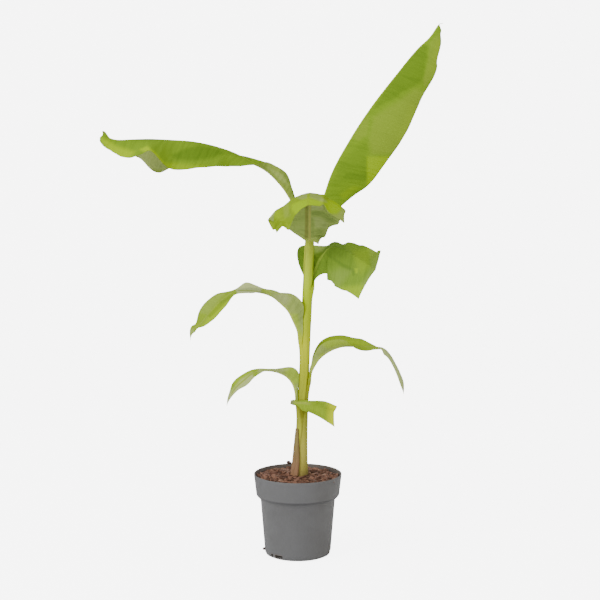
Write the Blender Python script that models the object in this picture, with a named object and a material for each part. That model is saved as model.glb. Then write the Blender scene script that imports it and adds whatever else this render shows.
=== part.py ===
"""A young Japanese banana plant in a round nursery pot, standing at its real size.

Metres, +Z up. The origin is the centre of the pot's flat underside, the viewer stands at -Y,
and each leaf's stations are in millimetres, as they would be measured on the plant.
"""

import math
import random
from typing import NamedTuple

import bmesh
import bpy
from mathutils import Matrix, Vector

MM = 0.001
FIT_GAP = 0.3 * MM

# Pot: a thin moulded tub with a wide collar round its upper quarter
POT_HEIGHT = 112 * MM
POT_WALL = 1.6 * MM
POT_FLOOR = 2.4 * MM
RIM_RADIUS = 60 * MM
COLLAR_FOOT = (57 * MM, 85 * MM)
SHOULDER = (51 * MM, 78 * MM)
BODY_FOOT = (45.3 * MM, 6.4 * MM)
BASE_RADIUS = 40 * MM
POT_STEPS = 48
DRAIN_GROUPS = 3
DRAIN_GROUP_ANGLE = 231
DRAIN_SLOTS = ((-9.0, 3.8), (3.0, 12.0))
DRAIN_SPAN = (3.0 * MM, 7.2 * MM)

# Compost: a low mound, with a plain hole for the stem and strips of bark lying over it
SOIL_CENTRE = 109 * MM
SOIL_EDGE = 107 * MM
SOIL_STEPS = 32
BARK_COUNT = 84
BARK_REACH = 50.5 * MM
BARK_SEED = 7

# Pseudostem: it leans a little to the right, and swells at its foot
STEM_FOOT_X = 3 * MM
STEM_LEAN = 0.040
STEM_GIRTHS = (
    (78, 9.0), (92, 11.0), (108, 11.2), (122, 10.0), (150, 8.5), (190, 7.5),
    (250, 6.8), (320, 6.6), (380, 6.3), (430, 5.8), (446, 4.6), (452, 2.2),
)
STEM_SIDES = 16
STEM_RINGS = 20
STEM_EDGE_DEPTH = 0.5 * MM
STEM_EDGES = 2
STEM_EDGE_TWIST = 3.1

# Leaf: its blade, and the strip of sheath that holds it to the stem
BLADE_THICKNESS = 0.8 * MM
BLADE_ARCH = 0.13
SHEATH_GAP = 0.4 * MM
TURN_SHARE = 0.3
DRAPE_START = 0.62
STATION_LENGTH = 9


class Leaf(NamedTuple):
    """One leaf, from its strip of sheath on the stem to its tip or its cut end.

    heading is the way it points, in degrees from +X towards +Y. sheath is the side of the stem
    that its strip is on, the strip's lowest and highest height, and its half width, or empty
    where the leaf clasps the stem with no strip below it. Each station
    is the rib's x, y and z, then the left half's width and droop and the right half's, left and
    right as seen from above with the leaf pointing away. A droop of 0 is level and 90 hangs
    straight down. Two more numbers, where they stand, are how far the left and right margins
    lean towards the tip. The drapes are how far each half hangs down at the cut end, by share of
    its width. strip_widths is the strip's width at its foot, above that and at its top.
    """

    name: str
    heading: float
    sheath: tuple
    stations: tuple
    rib: float = 2.2
    rows: int = 26
    half_columns: int = 5
    drape_left: tuple = ()
    drape_right: tuple = ()
    strip_widths: tuple = (0.35, 1.0, 1.0)


CROWN_DRAPE_LEFT = (
    (0.0, 0.0), (0.29, -1.5), (0.38, -6.0), (0.5, 3.0), (0.65, 6.0), (0.89, 5.0), (1.0, 2.0),
)
CROWN_DRAPE_RIGHT = (
    (0.0, 0.0), (0.18, 4.3), (0.37, 11.5), (0.5, 23.0), (0.56, 28.5), (0.76, 18.8), (1.0, 23.0),
)

LEAVES = (
    Leaf(
        "leaf_upper_left", 178, (154, 424, 447, 4.5), (
            (-8, 4, 487, 6, -55, 6, -55),
            (-17, 3, 501.5, 11, -62, 9, -60),
            (-28, 2, 515, 16, -64, 12, -60),
            (-39, 1, 526.5, 14, -60, 12, -55),
            (-48, 0, 532.5, 11, -54, 10, -50),
            (-58, -1, 537, 7, -12, 8, -35),
            (-70, -2, 542.5, 13, 45, 10, -12),
            (-84, -3, 548, 19, 50, 17, 22),
            (-104, -5, 555, 29.5, 47, 30, 40),
            (-143, -8, 565, 42.5, 52, 43, 46),
            (-165, -9, 567, 45, 54, 46, 55),
            (-183, -10, 568.5, 45, 31, 47, 64),
            (-197, -11, 569, 42, 19, 45, 53),
            (-210, -12, 569, 36, 32, 38, 28),
            (-224, -13, 568.5, 32, 49, 34, 40),
            (-234, -13.5, 568, 26, 55, 26, 38),
            (-243, -14, 568.5, 17, 60, 17, 36),
            (-249.5, -15, 571, 13, 68, 12, 40),
            (-252.5, -15, 575.5, 11, 72, 8, 50),
            (-255.5, -15, 579, 8, 72, 5, 50),
            (-258.5, -15, 580, 1, 50, 1, 40),
        ), rows=50, half_columns=5,
    ),
    Leaf(
        "leaf_upper_right", 0, (22, 422, 447, 4.5), (
            (25, 8, 462, 7, -50, 10, 30),
            (34, 9, 489, 26, 25, 28.5, 70),
            (43, 8, 517.5, 42, 36, 48.5, 80),
            (67, 8, 568.5, 52, 32, 62, 82),
            (95.5, 6, 611.5, 52, 26, 64, 78),
            (129, 4, 653.5, 42, 36, 46, 82),
            (161, 2, 690, 26, 25, 34.5, 78),
            (175, 0, 703.5, 12, 20, 19, 76),
            (181, 0, 712, 7, 12, 10, 72),
            (185, 0, 718, 4, 8, 5.5, 60),
            (187, 0, 720, 1, 0, 1, 0),
        ), rows=32, half_columns=5,
    ),
    Leaf(
        "leaf_crown", 268, (268, 412, 430, 5.0), (
            (16, -13, 444, 20, 30, 20, 5, -3, 0),
            (16, -17, 458, 27, 30, 31, 22, 0, -2),
            (16, -25, 474, 46, 37, 50, 40),
            (16, -38, 491, 50, 34, 58, 40, -3, -4),
            (15, -52, 500, 48, 17, 62, 30),
            (14, -70, 498, 48, 17, 58, 31, 2, 2),
            (13.5, -79, 493.5, 48.5, 22, 54, 33, 1, 0),
            (13, -86, 487, 52, 28, 46, 27, 2, 0),
        ), rows=24, half_columns=10, drape_left=CROWN_DRAPE_LEFT, drape_right=CROWN_DRAPE_RIGHT,
    ),
    Leaf(
        "leaf_middle_right", 0, (0, 345, 366, 6.5), (
            (20, 2, 379, 11, -68, 5, 40),
            (24, 4, 393, 25, -78, 8, 70, 0, -5),
            (30, 4, 407, 33, -78, 12, 70, 0, -13),
            (36, 3, 417, 30, -6, 20, 71, 0, -19),
            (40, 1.5, 421.3, 29, -3, 31, 71, 0, -22),
            (44.5, -1, 424, 28, 0, 43, 72, 0, -10),
            (50, -4.3, 424.4, 33, -6, 47, 71, 0, 5),
            (56, -8, 423.5, 37, -12, 50, 72, 0, 13),
            (68, -15, 418.5, 40, -20, 50, 71, -2, 17),
            (81, -21, 411, 42, -24, 48, 70, -5, 13),
            (92, -28, 404, 38, -30, 46, 70, -10, 9),
            (103.5, -34, 397, 33, -40, 46.5, 70, -16.5, 6.5),
        ), rows=32, half_columns=5,
    ),
    Leaf(
        "leaf_mid_left", 180, (180, 268, 292, 6.5), (
            (1, 0, 310, 9, -58, 9, -56),
            (-5, 0, 324, 15, -63, 13, -60),
            (-12, 0, 336, 21, -64, 18, -56),
            (-23, 0, 347, 20, -56, 16, -42),
            (-34, 0, 356, 13, -36, 14, -28),
            (-46, 0, 361, 9, -40, 12, -20),
            (-58, 0, 364, 8, 10, 14, -30),
            (-71, 0, 365, 8, 20, 16, -34),
            (-84, 0, 364, 9, 30, 15, -10),
            (-105, 0, 350, 17, 34, 19, -30),
            (-122, 0, 332, 16, 36, 19, -34),
            (-131, 0, 320.5, 9, 38, 10, -36),
            (-136.5, 0, 316, 4.5, 38, 4.5, -36),
            (-142, 0, 312.5, 7, 45, 6.5, -32),
            (-145, 0, 306, 4, 35, 4, -24),
            (-145.5, 0, 297, 1, 0, 1, 0),
        ), rows=38, half_columns=3,
    ),
    Leaf(
        "leaf_lower_right", 0, (0, 212, 236, 6.5), (
            (18, 0, 252, 6, -50, 6, -50),
            (22, 0, 261, 9, -64, 8, -62),
            (28, 0, 270, 14, -68, 12, -64),
            (41, 0, 281, 17, -62, 15, -62),
            (60, 0, 289, 17, -50, 14, -50),
            (75, 0, 290, 16, -32, 15, -2),
            (91, 0, 288.5, 14, -24, 14, 16),
            (106, 0, 288, 7, 0, 6, 30),
            (114, 0, 287, 4.5, 40, 4.5, 40),
            (120, 0, 283.5, 6, 50, 6, 50),
            (125, 0, 275.5, 5, 55, 5, 55),
            (132, 0, 264, 4.5, 60, 4.5, 60),
            (138.5, 0, 251, 5, 60, 5, 60),
            (142.5, 0, 239, 5.5, 60, 5.5, 60),
            (144, 0, 230, 3, 60, 3, 60),
            (144, 0, 223, 1, 0, 1, 0),
        ), rows=34, half_columns=3,
    ),
    Leaf(
        "leaf_lower_left", 180, (178, 182, 206, 6.0), (
            (-3, 0, 229, 4, -66, 5, -55),
            (-7, 0, 239, 10, -75, 9, -66),
            (-14, 0, 246, 16.5, -66, 13, -58),
            (-25, 0, 253, 9, -55, 6, -45),
            (-43, 0, 256, 4, 0, 4, -20),
            (-52, 0, 255, 6, 30, 5, -30),
            (-61, 0, 251.5, 9, 44, 7, -40),
            (-73, 0, 242, 11, 50, 10, -46),
            (-84, 0, 232, 10, 50, 10, -44),
            (-90.5, 0, 223, 6, 45, 5.5, -38),
            (-94.5, 0, 215.5, 3, 30, 3, -30),
            (-97, 0, 207, 1, 0, 1, 0),
        ), rows=28, half_columns=3,
    ),
    Leaf(
        "leaf_small_cut", 340, (), (
            (-10, -7, 213, 2.5, -60, 2.5, 60),
            (-6, -8, 213, 3.5, -75, 4, 75),
            (-1, -9, 212.5, 3, -88, 4, 80),
            (6, -10, 212.5, 3.5, -88, 10, 84),
            (14, -12.5, 212, 4.5, -62, 11, 74),
            (32, -25, 209.5, 9, -42, 14.5, 62),
            (49, -32, 205.5, 9.5, -38, 19, 62, 0, 3),
        ), rib=1.0, rows=22, half_columns=3,
    ),
)

# Old sheath: the dry remnant of a lost leaf, wide at the compost and tapering up the stem's left
OLD_SHEATH_HEADING = 210
OLD_SHEATH_SPAN = (113.5, 172)
OLD_SHEATH_HALF_WIDTH = 8.2
OLD_SHEATH_WIDTHS = (1.0, 0.95, 0.35)


def clear_scene() -> None:
    """Remove every object that the startup file holds."""
    for thing in list(bpy.data.objects):
        bpy.data.objects.remove(thing, do_unlink=True)


def principled(name: str, colour: tuple, roughness: float) -> bpy.types.Material:
    """Return a plain material with this colour and roughness."""
    material = bpy.data.materials.new(name)
    material.use_nodes = True
    shader = material.node_tree.nodes["Principled BSDF"]
    shader.inputs["Base Color"].default_value = (*colour, 1.0)
    shader.inputs["Roughness"].default_value = roughness
    shader.inputs["Metallic"].default_value = 0.0
    material.diffuse_color = (*colour, 1.0)
    return material


def finish(mesh: bmesh.types.BMesh, name: str, material: bpy.types.Material) -> bpy.types.Object:
    """Turn a bmesh into a named, smooth-shaded object in the scene."""
    bmesh.ops.recalc_face_normals(mesh, faces=mesh.faces)
    data = bpy.data.meshes.new(name)
    mesh.to_mesh(data)
    mesh.free()
    data.materials.append(material)
    data.shade_smooth()
    data.set_sharp_from_angle(angle=math.radians(40))
    thing = bpy.data.objects.new(name, data)
    bpy.context.scene.collection.objects.link(thing)
    return thing


def slopes(knots: list, rows: list) -> list:
    """Return the slope of each column at each knot, from the spans on both sides of it."""
    spans = [b - a for a, b in zip(knots, knots[1:])]
    chords = [
        [(q - p) / span for p, q in zip(low, high)]
        for low, high, span in zip(rows, rows[1:], spans)
    ]
    inner = [
        [(p * after + q * before) / (before + after) for p, q in zip(low, high)]
        for low, high, before, after in zip(chords, chords[1:], spans, spans[1:])
    ]
    return [chords[0], *inner, chords[-1]]


class Curve:
    """A smooth curve through rows of numbers whose first three are a place."""

    def __init__(self, rows: list) -> None:
        self.rows = rows
        reach = [0.0]
        for low, high in zip(self.rows, self.rows[1:]):
            reach.append(reach[-1] + math.dist(low[:3], high[:3]))
        self.knots = [value / reach[-1] for value in reach]
        self.slopes = slopes(self.knots, self.rows)

    def at(self, place: float) -> list:
        """Return the row at this share of the curve's length, from 0 to 1."""
        last = len(self.knots) - 2
        index = min(sum(place >= knot for knot in self.knots[1:-1]), last)
        span = self.knots[index + 1] - self.knots[index]
        t = (place - self.knots[index]) / span
        start = (1 + 2 * t) * (1 - t) ** 2
        leave = t * (1 - t) ** 2 * span
        end = t * t * (3 - 2 * t)
        arrive = t * t * (t - 1) * span
        values = zip(
            self.rows[index], self.slopes[index], self.rows[index + 1], self.slopes[index + 1]
        )
        return [start * a + leave * b + end * c + arrive * d for a, b, c, d in values]


GIRTH = Curve([(0.0, 0.0, height, radius) for height, radius in STEM_GIRTHS])


def stem_radius(height: float) -> float:
    """Return the stem's radius in metres at a height in metres."""
    low = STEM_GIRTHS[0][0]
    high = STEM_GIRTHS[-1][0]
    place = (height / MM - low) / (high - low)
    return GIRTH.at(min(max(place, 0.0), 1.0))[3] * MM


def stem_axis(height: float) -> Vector:
    """Return the middle of the stem at this height."""
    return Vector((STEM_FOOT_X + STEM_LEAN * (height - POT_HEIGHT), 0.0, height))


def clear_of_stem(point: Vector) -> Vector:
    """Return the point, moved straight out to the stem's surface where it would lie inside it."""
    if not STEM_GIRTHS[0][0] * MM < point.z < STEM_GIRTHS[-1][0] * MM:
        return point
    axis = stem_axis(point.z)
    least = stem_radius(point.z) + STEM_EDGE_DEPTH + SHEATH_GAP
    away = point - axis
    return axis + away * max(1.0, least / away.length)


def heading_vector(degrees: float) -> Vector:
    """Return the level unit vector that points this way."""
    angle = math.radians(degrees)
    return Vector((math.cos(angle), math.sin(angle), 0.0))


def sheath_rows(heading: float, low: float, high: float, half_width: float, widths: tuple) -> list:
    """Return stations for a strip that hugs the stem between two heights, in millimetres."""
    rows = []
    for share, width in zip((0.0, 0.4, 1.0), widths):
        height = (low + share * (high - low)) * MM
        reach = stem_radius(height) + SHEATH_GAP + STEM_EDGE_DEPTH
        place = stem_axis(height) + heading_vector(heading) * reach
        wide = width * half_width
        wrap = -math.degrees(math.asin(wide * MM / (2 * reach)))
        rows.append((*(value / MM for value in place), wide, wrap, wide, wrap))
    return rows


class Blade:
    """The surface of a leaf: a rib with a half blade on either side."""

    def __init__(self, leaf: Leaf) -> None:
        self.leaf = leaf
        strip = sheath_rows(*leaf.sheath, leaf.strip_widths) if leaf.sheath else []
        self.curve = Curve([(*row, 0.0, 0.0)[:STATION_LENGTH] for row in (*strip, *leaf.stations)])
        up = Vector((0, 0, 1))
        self.foot_side = up.cross(heading_vector(leaf.sheath[0] if leaf.sheath else leaf.heading))
        self.side = up.cross(heading_vector(leaf.heading))

    def side_at(self, along: float) -> Vector:
        """Return the level vector across the leaf, which turns from the stem's side to the leaf's."""
        first = self.curve.knots[2]
        share = min(max((along - first) / max(TURN_SHARE * (1 - first), 1e-6), 0.0), 1.0)
        share = share * share * (3 - 2 * share)
        return self.foot_side.lerp(self.side, share)

    def upper(self, along: float, across: float) -> Vector:
        """Return the point of the upper face at these shares of length and half width."""
        step = 1e-3
        row = self.curve.at(along)
        before = self.curve.at(max(along - step, 0.0))
        after = self.curve.at(min(along + step, 1.0))
        tangent = (Vector(after[:3]) - Vector(before[:3])).normalized()
        normal = tangent.cross(self.side_at(along)).normalized()
        left = normal.cross(tangent)
        hand = 1 if across >= 0 else -1
        width, droop = row[3:5] if hand > 0 else row[5:7]
        width = max(width, 0.5)
        angle = math.radians(droop)
        outward = left * hand * math.cos(angle) - normal * math.sin(angle)
        raised = normal * math.cos(angle) + left * hand * math.sin(angle)
        share = abs(across)
        arch = BLADE_ARCH * max(-1.0, min(1.0, droop / 35)) * 4 * share * (1 - share)
        lean = row[7] if hand > 0 else row[8]
        point = Vector(row[:3]) + outward * width * share + raised * arch * width
        point.z -= self.drape(along, share, self.leaf.drape_left if hand > 0 else self.leaf.drape_right)
        return clear_of_stem((point + tangent * lean * share) * MM)

    def drape(self, along: float, share: float, knots: tuple) -> float:
        """Return how far a half hangs down here, growing from nothing to the knots at the cut end."""
        growth = max(along - DRAPE_START, 0.0) / (1 - DRAPE_START)
        for (low, drop), (high, after) in zip(knots, knots[1:]):
            if low <= share <= high:
                return growth**1.3 * (drop + (after - drop) * (share - low) / (high - low))
        return 0.0

    def depth(self, along: float, across: float) -> float:
        """Return how thick the leaf is here: its blade, and the rib under its middle."""
        row = self.curve.at(along)
        width = max(row[3] if across >= 0 else row[5], 0.5)
        rib = self.leaf.rib * (1 - along) ** 0.8
        reach = abs(across) * width / (1.0 + rib)
        return BLADE_THICKNESS + rib * MM * math.exp(-reach * reach)

    def lower(self, along: float, across: float) -> Vector:
        """Return the point of the lower face under the upper one."""
        step = 0.004
        here = self.upper(along, across)
        forward = self.upper(min(along + step, 1), across) - self.upper(max(along - step, 0), across)
        sideways = self.upper(along, min(across + step, 1)) - self.upper(along, max(across - step, -1))
        normal = forward.cross(sideways).normalized()
        return here - normal * self.depth(along, across)


def leaf_solid(leaf: Leaf, material: bpy.types.Material) -> bpy.types.Object:
    """Build one leaf as a thin closed solid, its two faces split into like triangles."""
    blade = Blade(leaf)
    mesh = bmesh.new()
    bmesh.ops.create_grid(mesh, x_segments=leaf.rows, y_segments=2 * leaf.half_columns, size=1.0)
    bmesh.ops.triangulate(mesh, faces=mesh.faces, quad_method="FIXED")
    under = bmesh.ops.extrude_face_region(mesh, geom=mesh.faces[:], use_keep_orig=True)["geom"]
    for vertex in under:
        if isinstance(vertex, bmesh.types.BMVert):
            vertex.co.z = -1.0
    for vertex in mesh.verts:
        along = (vertex.co.x + 1) / 2
        across = math.copysign(abs(vertex.co.y) ** 1.35, vertex.co.y)
        vertex.co = blade.upper(along, across) if vertex.co.z > -0.5 else blade.lower(along, across)
    return finish(mesh, leaf.name, material)


def spun(profile: list, steps: int) -> bmesh.types.BMesh:
    """Turn a profile of (radius, height) points about the vertical axis."""
    mesh = bmesh.new()
    points = [mesh.verts.new((radius, 0.0, height)) for radius, height in profile]
    edges = [mesh.edges.new(pair) for pair in zip(points, points[1:])]
    bmesh.ops.spin(
        mesh, geom=points + edges, axis=(0, 0, 1), cent=(0, 0, 0),
        angle=math.tau, steps=steps, use_merge=True,
    )
    bmesh.ops.remove_doubles(mesh, verts=mesh.verts, dist=0.01 * MM)
    return mesh


def arc(centre: tuple, radius: float, start: float, end: float, count: int) -> list:
    """Return points on an arc in the profile's plane, with angles in degrees."""
    points = []
    for index in range(count + 1):
        angle = math.radians(start + (end - start) * index / count)
        points.append((centre[0] + radius * math.cos(angle), centre[1] + radius * math.sin(angle)))
    return points


def helper(thing: bpy.types.Object) -> bpy.types.Object:
    """Mark an object as a cutter, which is no part of the plant."""
    thing.hide_render = True
    thing.display_type = "WIRE"
    return thing


def drain_cutters(material: bpy.types.Material) -> bpy.types.Object:
    """Return the blocks that cut the drain slots through the pot's lower edge."""
    mesh = bmesh.new()
    for group in range(DRAIN_GROUPS):
        turn = math.radians(DRAIN_GROUP_ANGLE + 360 / DRAIN_GROUPS * group)
        for offset, width in DRAIN_SLOTS:
            place = Matrix.Rotation(turn, 4, "Z") @ Matrix.Translation(
                (BASE_RADIUS + 2 * MM, offset * MM, (DRAIN_SPAN[0] + DRAIN_SPAN[1]) / 2)
            )
            size = Matrix.Diagonal((10 * MM, width * MM, DRAIN_SPAN[1] - DRAIN_SPAN[0], 1.0))
            bmesh.ops.create_cube(mesh, size=1.0, matrix=place @ size)
    return helper(finish(mesh, "drain_cutters", material))


def pot(material: bpy.types.Material) -> bpy.types.Object:
    """Build the nursery pot: one thin wall turned about the axis, with drain slots at its foot."""
    collar_r, collar_z = COLLAR_FOOT
    shoulder_r, shoulder_z = SHOULDER
    foot_r, foot_z = BODY_FOOT
    lip = arc((RIM_RADIUS - POT_WALL / 2, POT_HEIGHT - POT_WALL / 2), POT_WALL / 2, 0, 180, 4)
    outside = [(0.0, 0.0), (BASE_RADIUS, 0.0), (foot_r - 1.6 * MM, 1.8 * MM), (foot_r, foot_z)]
    outside += [(shoulder_r, shoulder_z), (collar_r - 1.2 * MM, collar_z - 2.0 * MM)]
    outside += [(collar_r, collar_z)]
    inside = [
        (collar_r - POT_WALL, collar_z + 0.6 * MM), (shoulder_r - POT_WALL, shoulder_z + 0.6 * MM),
        (foot_r - POT_WALL, foot_z), (BASE_RADIUS - POT_WALL, POT_FLOOR), (0.0, POT_FLOOR),
    ]
    thing = finish(spun(outside + lip + inside, POT_STEPS), "pot", material)
    slots = thing.modifiers.new("drain slots", "BOOLEAN")
    slots.operation = "DIFFERENCE"
    slots.object = drain_cutters(material)
    return thing


def soil_height(radius: float) -> float:
    """Return the height of the compost's mound at this distance from the pot's axis."""
    share = min(radius / (RIM_RADIUS - POT_WALL), 1.0)
    return SOIL_CENTRE + (SOIL_EDGE - SOIL_CENTRE) * share**2


def soil_body() -> bmesh.types.BMesh:
    """Return the compost that fills the pot, a fit gap inside its wall."""
    inset = POT_WALL + FIT_GAP
    collar_r, collar_z = COLLAR_FOOT
    shoulder_r, shoulder_z = SHOULDER
    foot_r, foot_z = BODY_FOOT
    top_share = (SOIL_EDGE - collar_z) / (POT_HEIGHT - collar_z)
    top_r = collar_r + (RIM_RADIUS - collar_r) * top_share - inset - 0.1 * MM
    profile = [
        (0.0, POT_FLOOR + FIT_GAP), (BASE_RADIUS - inset, POT_FLOOR + FIT_GAP),
        (foot_r - inset, foot_z + FIT_GAP), (shoulder_r - inset, shoulder_z + 0.8 * MM),
        (collar_r - inset, collar_z + 1.0 * MM), (top_r, SOIL_EDGE),
    ]
    profile += [(top_r * share, soil_height(top_r * share)) for share in (0.8, 0.6, 0.4, 0.2)]
    profile.append((0.0, SOIL_CENTRE))
    return spun(profile, SOIL_STEPS)


def bark_strip(rng: random.Random) -> bmesh.types.BMesh:
    """Return one strip of bark, half sunk in the compost where the draw puts it."""
    mesh = bmesh.new()
    long, wide, thick = rng.uniform(7, 13), rng.uniform(3, 5), rng.uniform(1.8, 2.8)
    radius = BARK_REACH * math.sqrt(rng.random())
    bearing = rng.uniform(0, math.tau)
    place = Vector((radius * math.cos(bearing), radius * math.sin(bearing), 0.0))
    place.z = soil_height(radius) + rng.uniform(-0.2, 1.0) * MM
    spread = 0.5 * long * MM
    yaw = rng.uniform(0, math.tau)
    if radius > BARK_REACH - spread:
        yaw = bearing + math.pi / 2 + rng.uniform(-0.3, 0.3)
    turn = Matrix.Rotation(yaw, 4, "Z")
    turn @= Matrix.Rotation(rng.uniform(-0.28, 0.28), 4, "Y")
    turn @= Matrix.Rotation(rng.uniform(-0.4, 0.4), 4, "X")
    size = Matrix.Diagonal((long * MM, wide * MM, thick * MM, 1.0))
    bmesh.ops.create_cube(mesh, size=1.0, matrix=Matrix.Translation(place) @ turn @ size)
    return mesh


def applied(thing: bpy.types.Object) -> None:
    """Replace an object's mesh by what its modifiers make of it."""
    graph = bpy.context.evaluated_depsgraph_get()
    made = bpy.data.meshes.new_from_object(thing.evaluated_get(graph))
    thing.modifiers.clear()
    thing.data = made


def soil(material: bpy.types.Material) -> bpy.types.Object:
    """Build the compost with its bark strips fused on, and the stem's hole cut through both."""
    thing = finish(soil_body(), "soil", material)
    rng = random.Random(BARK_SEED)
    bark = bpy.data.collections.new("bark")
    bpy.context.scene.collection.children.link(bark)
    for index in range(BARK_COUNT):
        strip = finish(bark_strip(rng), f"bark_{index}", material)
        bpy.context.scene.collection.objects.unlink(strip)
        bark.objects.link(strip)
    union = thing.modifiers.new("bark", "BOOLEAN")
    union.operation = "UNION"
    union.operand_type = "COLLECTION"
    union.collection = bark
    applied(thing)
    for strip in list(bark.objects):
        bpy.data.objects.remove(strip, do_unlink=True)
    bpy.data.collections.remove(bark)
    cutter = stem_solid("stem_hole", material, STEM_EDGE_DEPTH + FIT_GAP)
    hole = thing.modifiers.new("stem hole", "BOOLEAN")
    hole.operation = "DIFFERENCE"
    hole.object = cutter
    applied(thing)
    bpy.data.objects.remove(cutter, do_unlink=True)
    return thing


def stem_solid(name: str, material: bpy.types.Material, swell: float) -> bpy.types.Object:
    """Build the stem with its sheaths' edges winding up it, or with a swell its plain hole."""
    mesh = bmesh.new()
    low, high = STEM_GIRTHS[0][0] * MM, STEM_GIRTHS[-1][0] * MM
    bmesh.ops.create_circle(mesh, cap_ends=False, radius=1.0, segments=STEM_SIDES)
    ring = mesh.edges[:]
    bmesh.ops.contextual_create(mesh, geom=ring)
    for index in range(1, STEM_RINGS + 1):
        grown = bmesh.ops.extrude_edge_only(mesh, edges=ring)["geom"]
        ring = [item for item in grown if isinstance(item, bmesh.types.BMEdge)]
        for vertex in {vertex for edge in ring for vertex in edge.verts}:
            vertex.co.z = float(index)
    bmesh.ops.contextual_create(mesh, geom=ring)
    for vertex in mesh.verts:
        height = low + (high - low) * vertex.co.z / STEM_RINGS
        bearing = math.atan2(vertex.co.y, vertex.co.x)
        turn = STEM_EDGES * bearing / math.tau - STEM_EDGE_TWIST * height
        edge = 0.0 if swell else STEM_EDGE_DEPTH * (turn % 1.0)
        radius = stem_radius(height) + edge + swell
        vertex.co = stem_axis(height) + Vector((math.cos(bearing), math.sin(bearing), 0)) * radius
        if swell and height == low:
            vertex.co.z -= swell
    return finish(mesh, name, material)


def old_sheath(material: bpy.types.Material) -> bpy.types.Object:
    """Build the dry strip of an old leaf's sheath against the foot of the stem."""
    strip = Leaf(
        "old_sheath", OLD_SHEATH_HEADING, (OLD_SHEATH_HEADING, *OLD_SHEATH_SPAN, OLD_SHEATH_HALF_WIDTH),
        (), rib=0.0, rows=10, half_columns=3, strip_widths=OLD_SHEATH_WIDTHS,
    )
    return leaf_solid(strip, material)


def main() -> None:
    """Build the pot, the compost, the stem and its leaves."""
    clear_scene()
    pot(principled("pot plastic", (0.18, 0.18, 0.18), 0.5))
    soil(principled("compost", (0.12, 0.05, 0.025), 0.9))
    green = principled("leaf", (0.26, 0.40, 0.05), 0.45)
    stem_solid("pseudostem", principled("stem", (0.40, 0.44, 0.08), 0.5), 0.0)
    for leaf in LEAVES:
        leaf_solid(leaf, green)
    old_sheath(principled("dry sheath", (0.32, 0.17, 0.07), 0.8))


if __name__ == "__main__":
    main()
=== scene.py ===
"""A potted Japanese banana, dressed for its portrait.

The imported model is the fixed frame: metres, +Z up, the origin at the middle of the pot's flat
underside, the viewer at -Y. Sizes inside the classes are millimetres unless they say otherwise,
and turns are degrees.
"""

import dataclasses
import functools
import logging
import math
import random
from dataclasses import dataclass, field
from enum import Enum
from typing import NamedTuple

import bmesh
import bpy
from mathutils import Matrix, Vector, noise


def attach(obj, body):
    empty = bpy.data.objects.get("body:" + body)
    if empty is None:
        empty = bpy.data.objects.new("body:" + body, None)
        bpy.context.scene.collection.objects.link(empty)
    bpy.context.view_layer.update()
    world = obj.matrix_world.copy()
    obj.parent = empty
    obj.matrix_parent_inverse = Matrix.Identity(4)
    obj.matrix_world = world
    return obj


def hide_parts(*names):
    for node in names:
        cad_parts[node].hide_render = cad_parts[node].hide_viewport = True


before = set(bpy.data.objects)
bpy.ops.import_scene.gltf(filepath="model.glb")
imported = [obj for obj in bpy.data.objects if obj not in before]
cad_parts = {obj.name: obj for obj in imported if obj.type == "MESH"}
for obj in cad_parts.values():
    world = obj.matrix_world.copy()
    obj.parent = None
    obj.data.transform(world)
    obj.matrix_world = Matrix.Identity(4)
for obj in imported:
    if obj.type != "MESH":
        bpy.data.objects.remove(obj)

LOG = logging.getLogger("potted banana")
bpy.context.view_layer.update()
MM = 0.001
UP = Vector((0.0, 0.0, 1.0))
Colour = tuple[float, float, float]
Socket = bpy.types.NodeSocket
# How far a leaf stays off the stem, and the least half width of a leaf, in millimetres.
GAP = 0.3
NARROW = 0.5


class Tone(Enum):
    """The ways in which a patch of leaf differs from the plain blade, by colour channel: painted light, which
    on the small cut leaf is its yellowed end, painted shade, pale bloom with painted light, and dry tissue.
    """

    BRIGHT = 0
    DARK = 1
    BLOOM_AND_LIGHT = 2
    DRY = 3


class Face(Enum):
    """Which face of a blade a patch lies on."""

    BOTH = "both"
    UPPER = "upper"
    UNDER = "under"


def smooth(value: float, low: float, high: float) -> float:
    """Ease from 0 at low to 1 at high.

    Args:
        value: The number to place.
        low: Where the result leaves 0.
        high: Where the result reaches 1.

    Returns:
        A share from 0 to 1 with level ends.
    """
    share = min(max((value - low) / (high - low), 0.0), 1.0)
    return share * share * (3 - 2 * share)


def heading_vector(degrees: float) -> Vector:
    """Return the level unit vector with this heading."""
    angle = math.radians(degrees)
    return Vector((math.cos(angle), math.sin(angle), 0.0))


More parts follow.
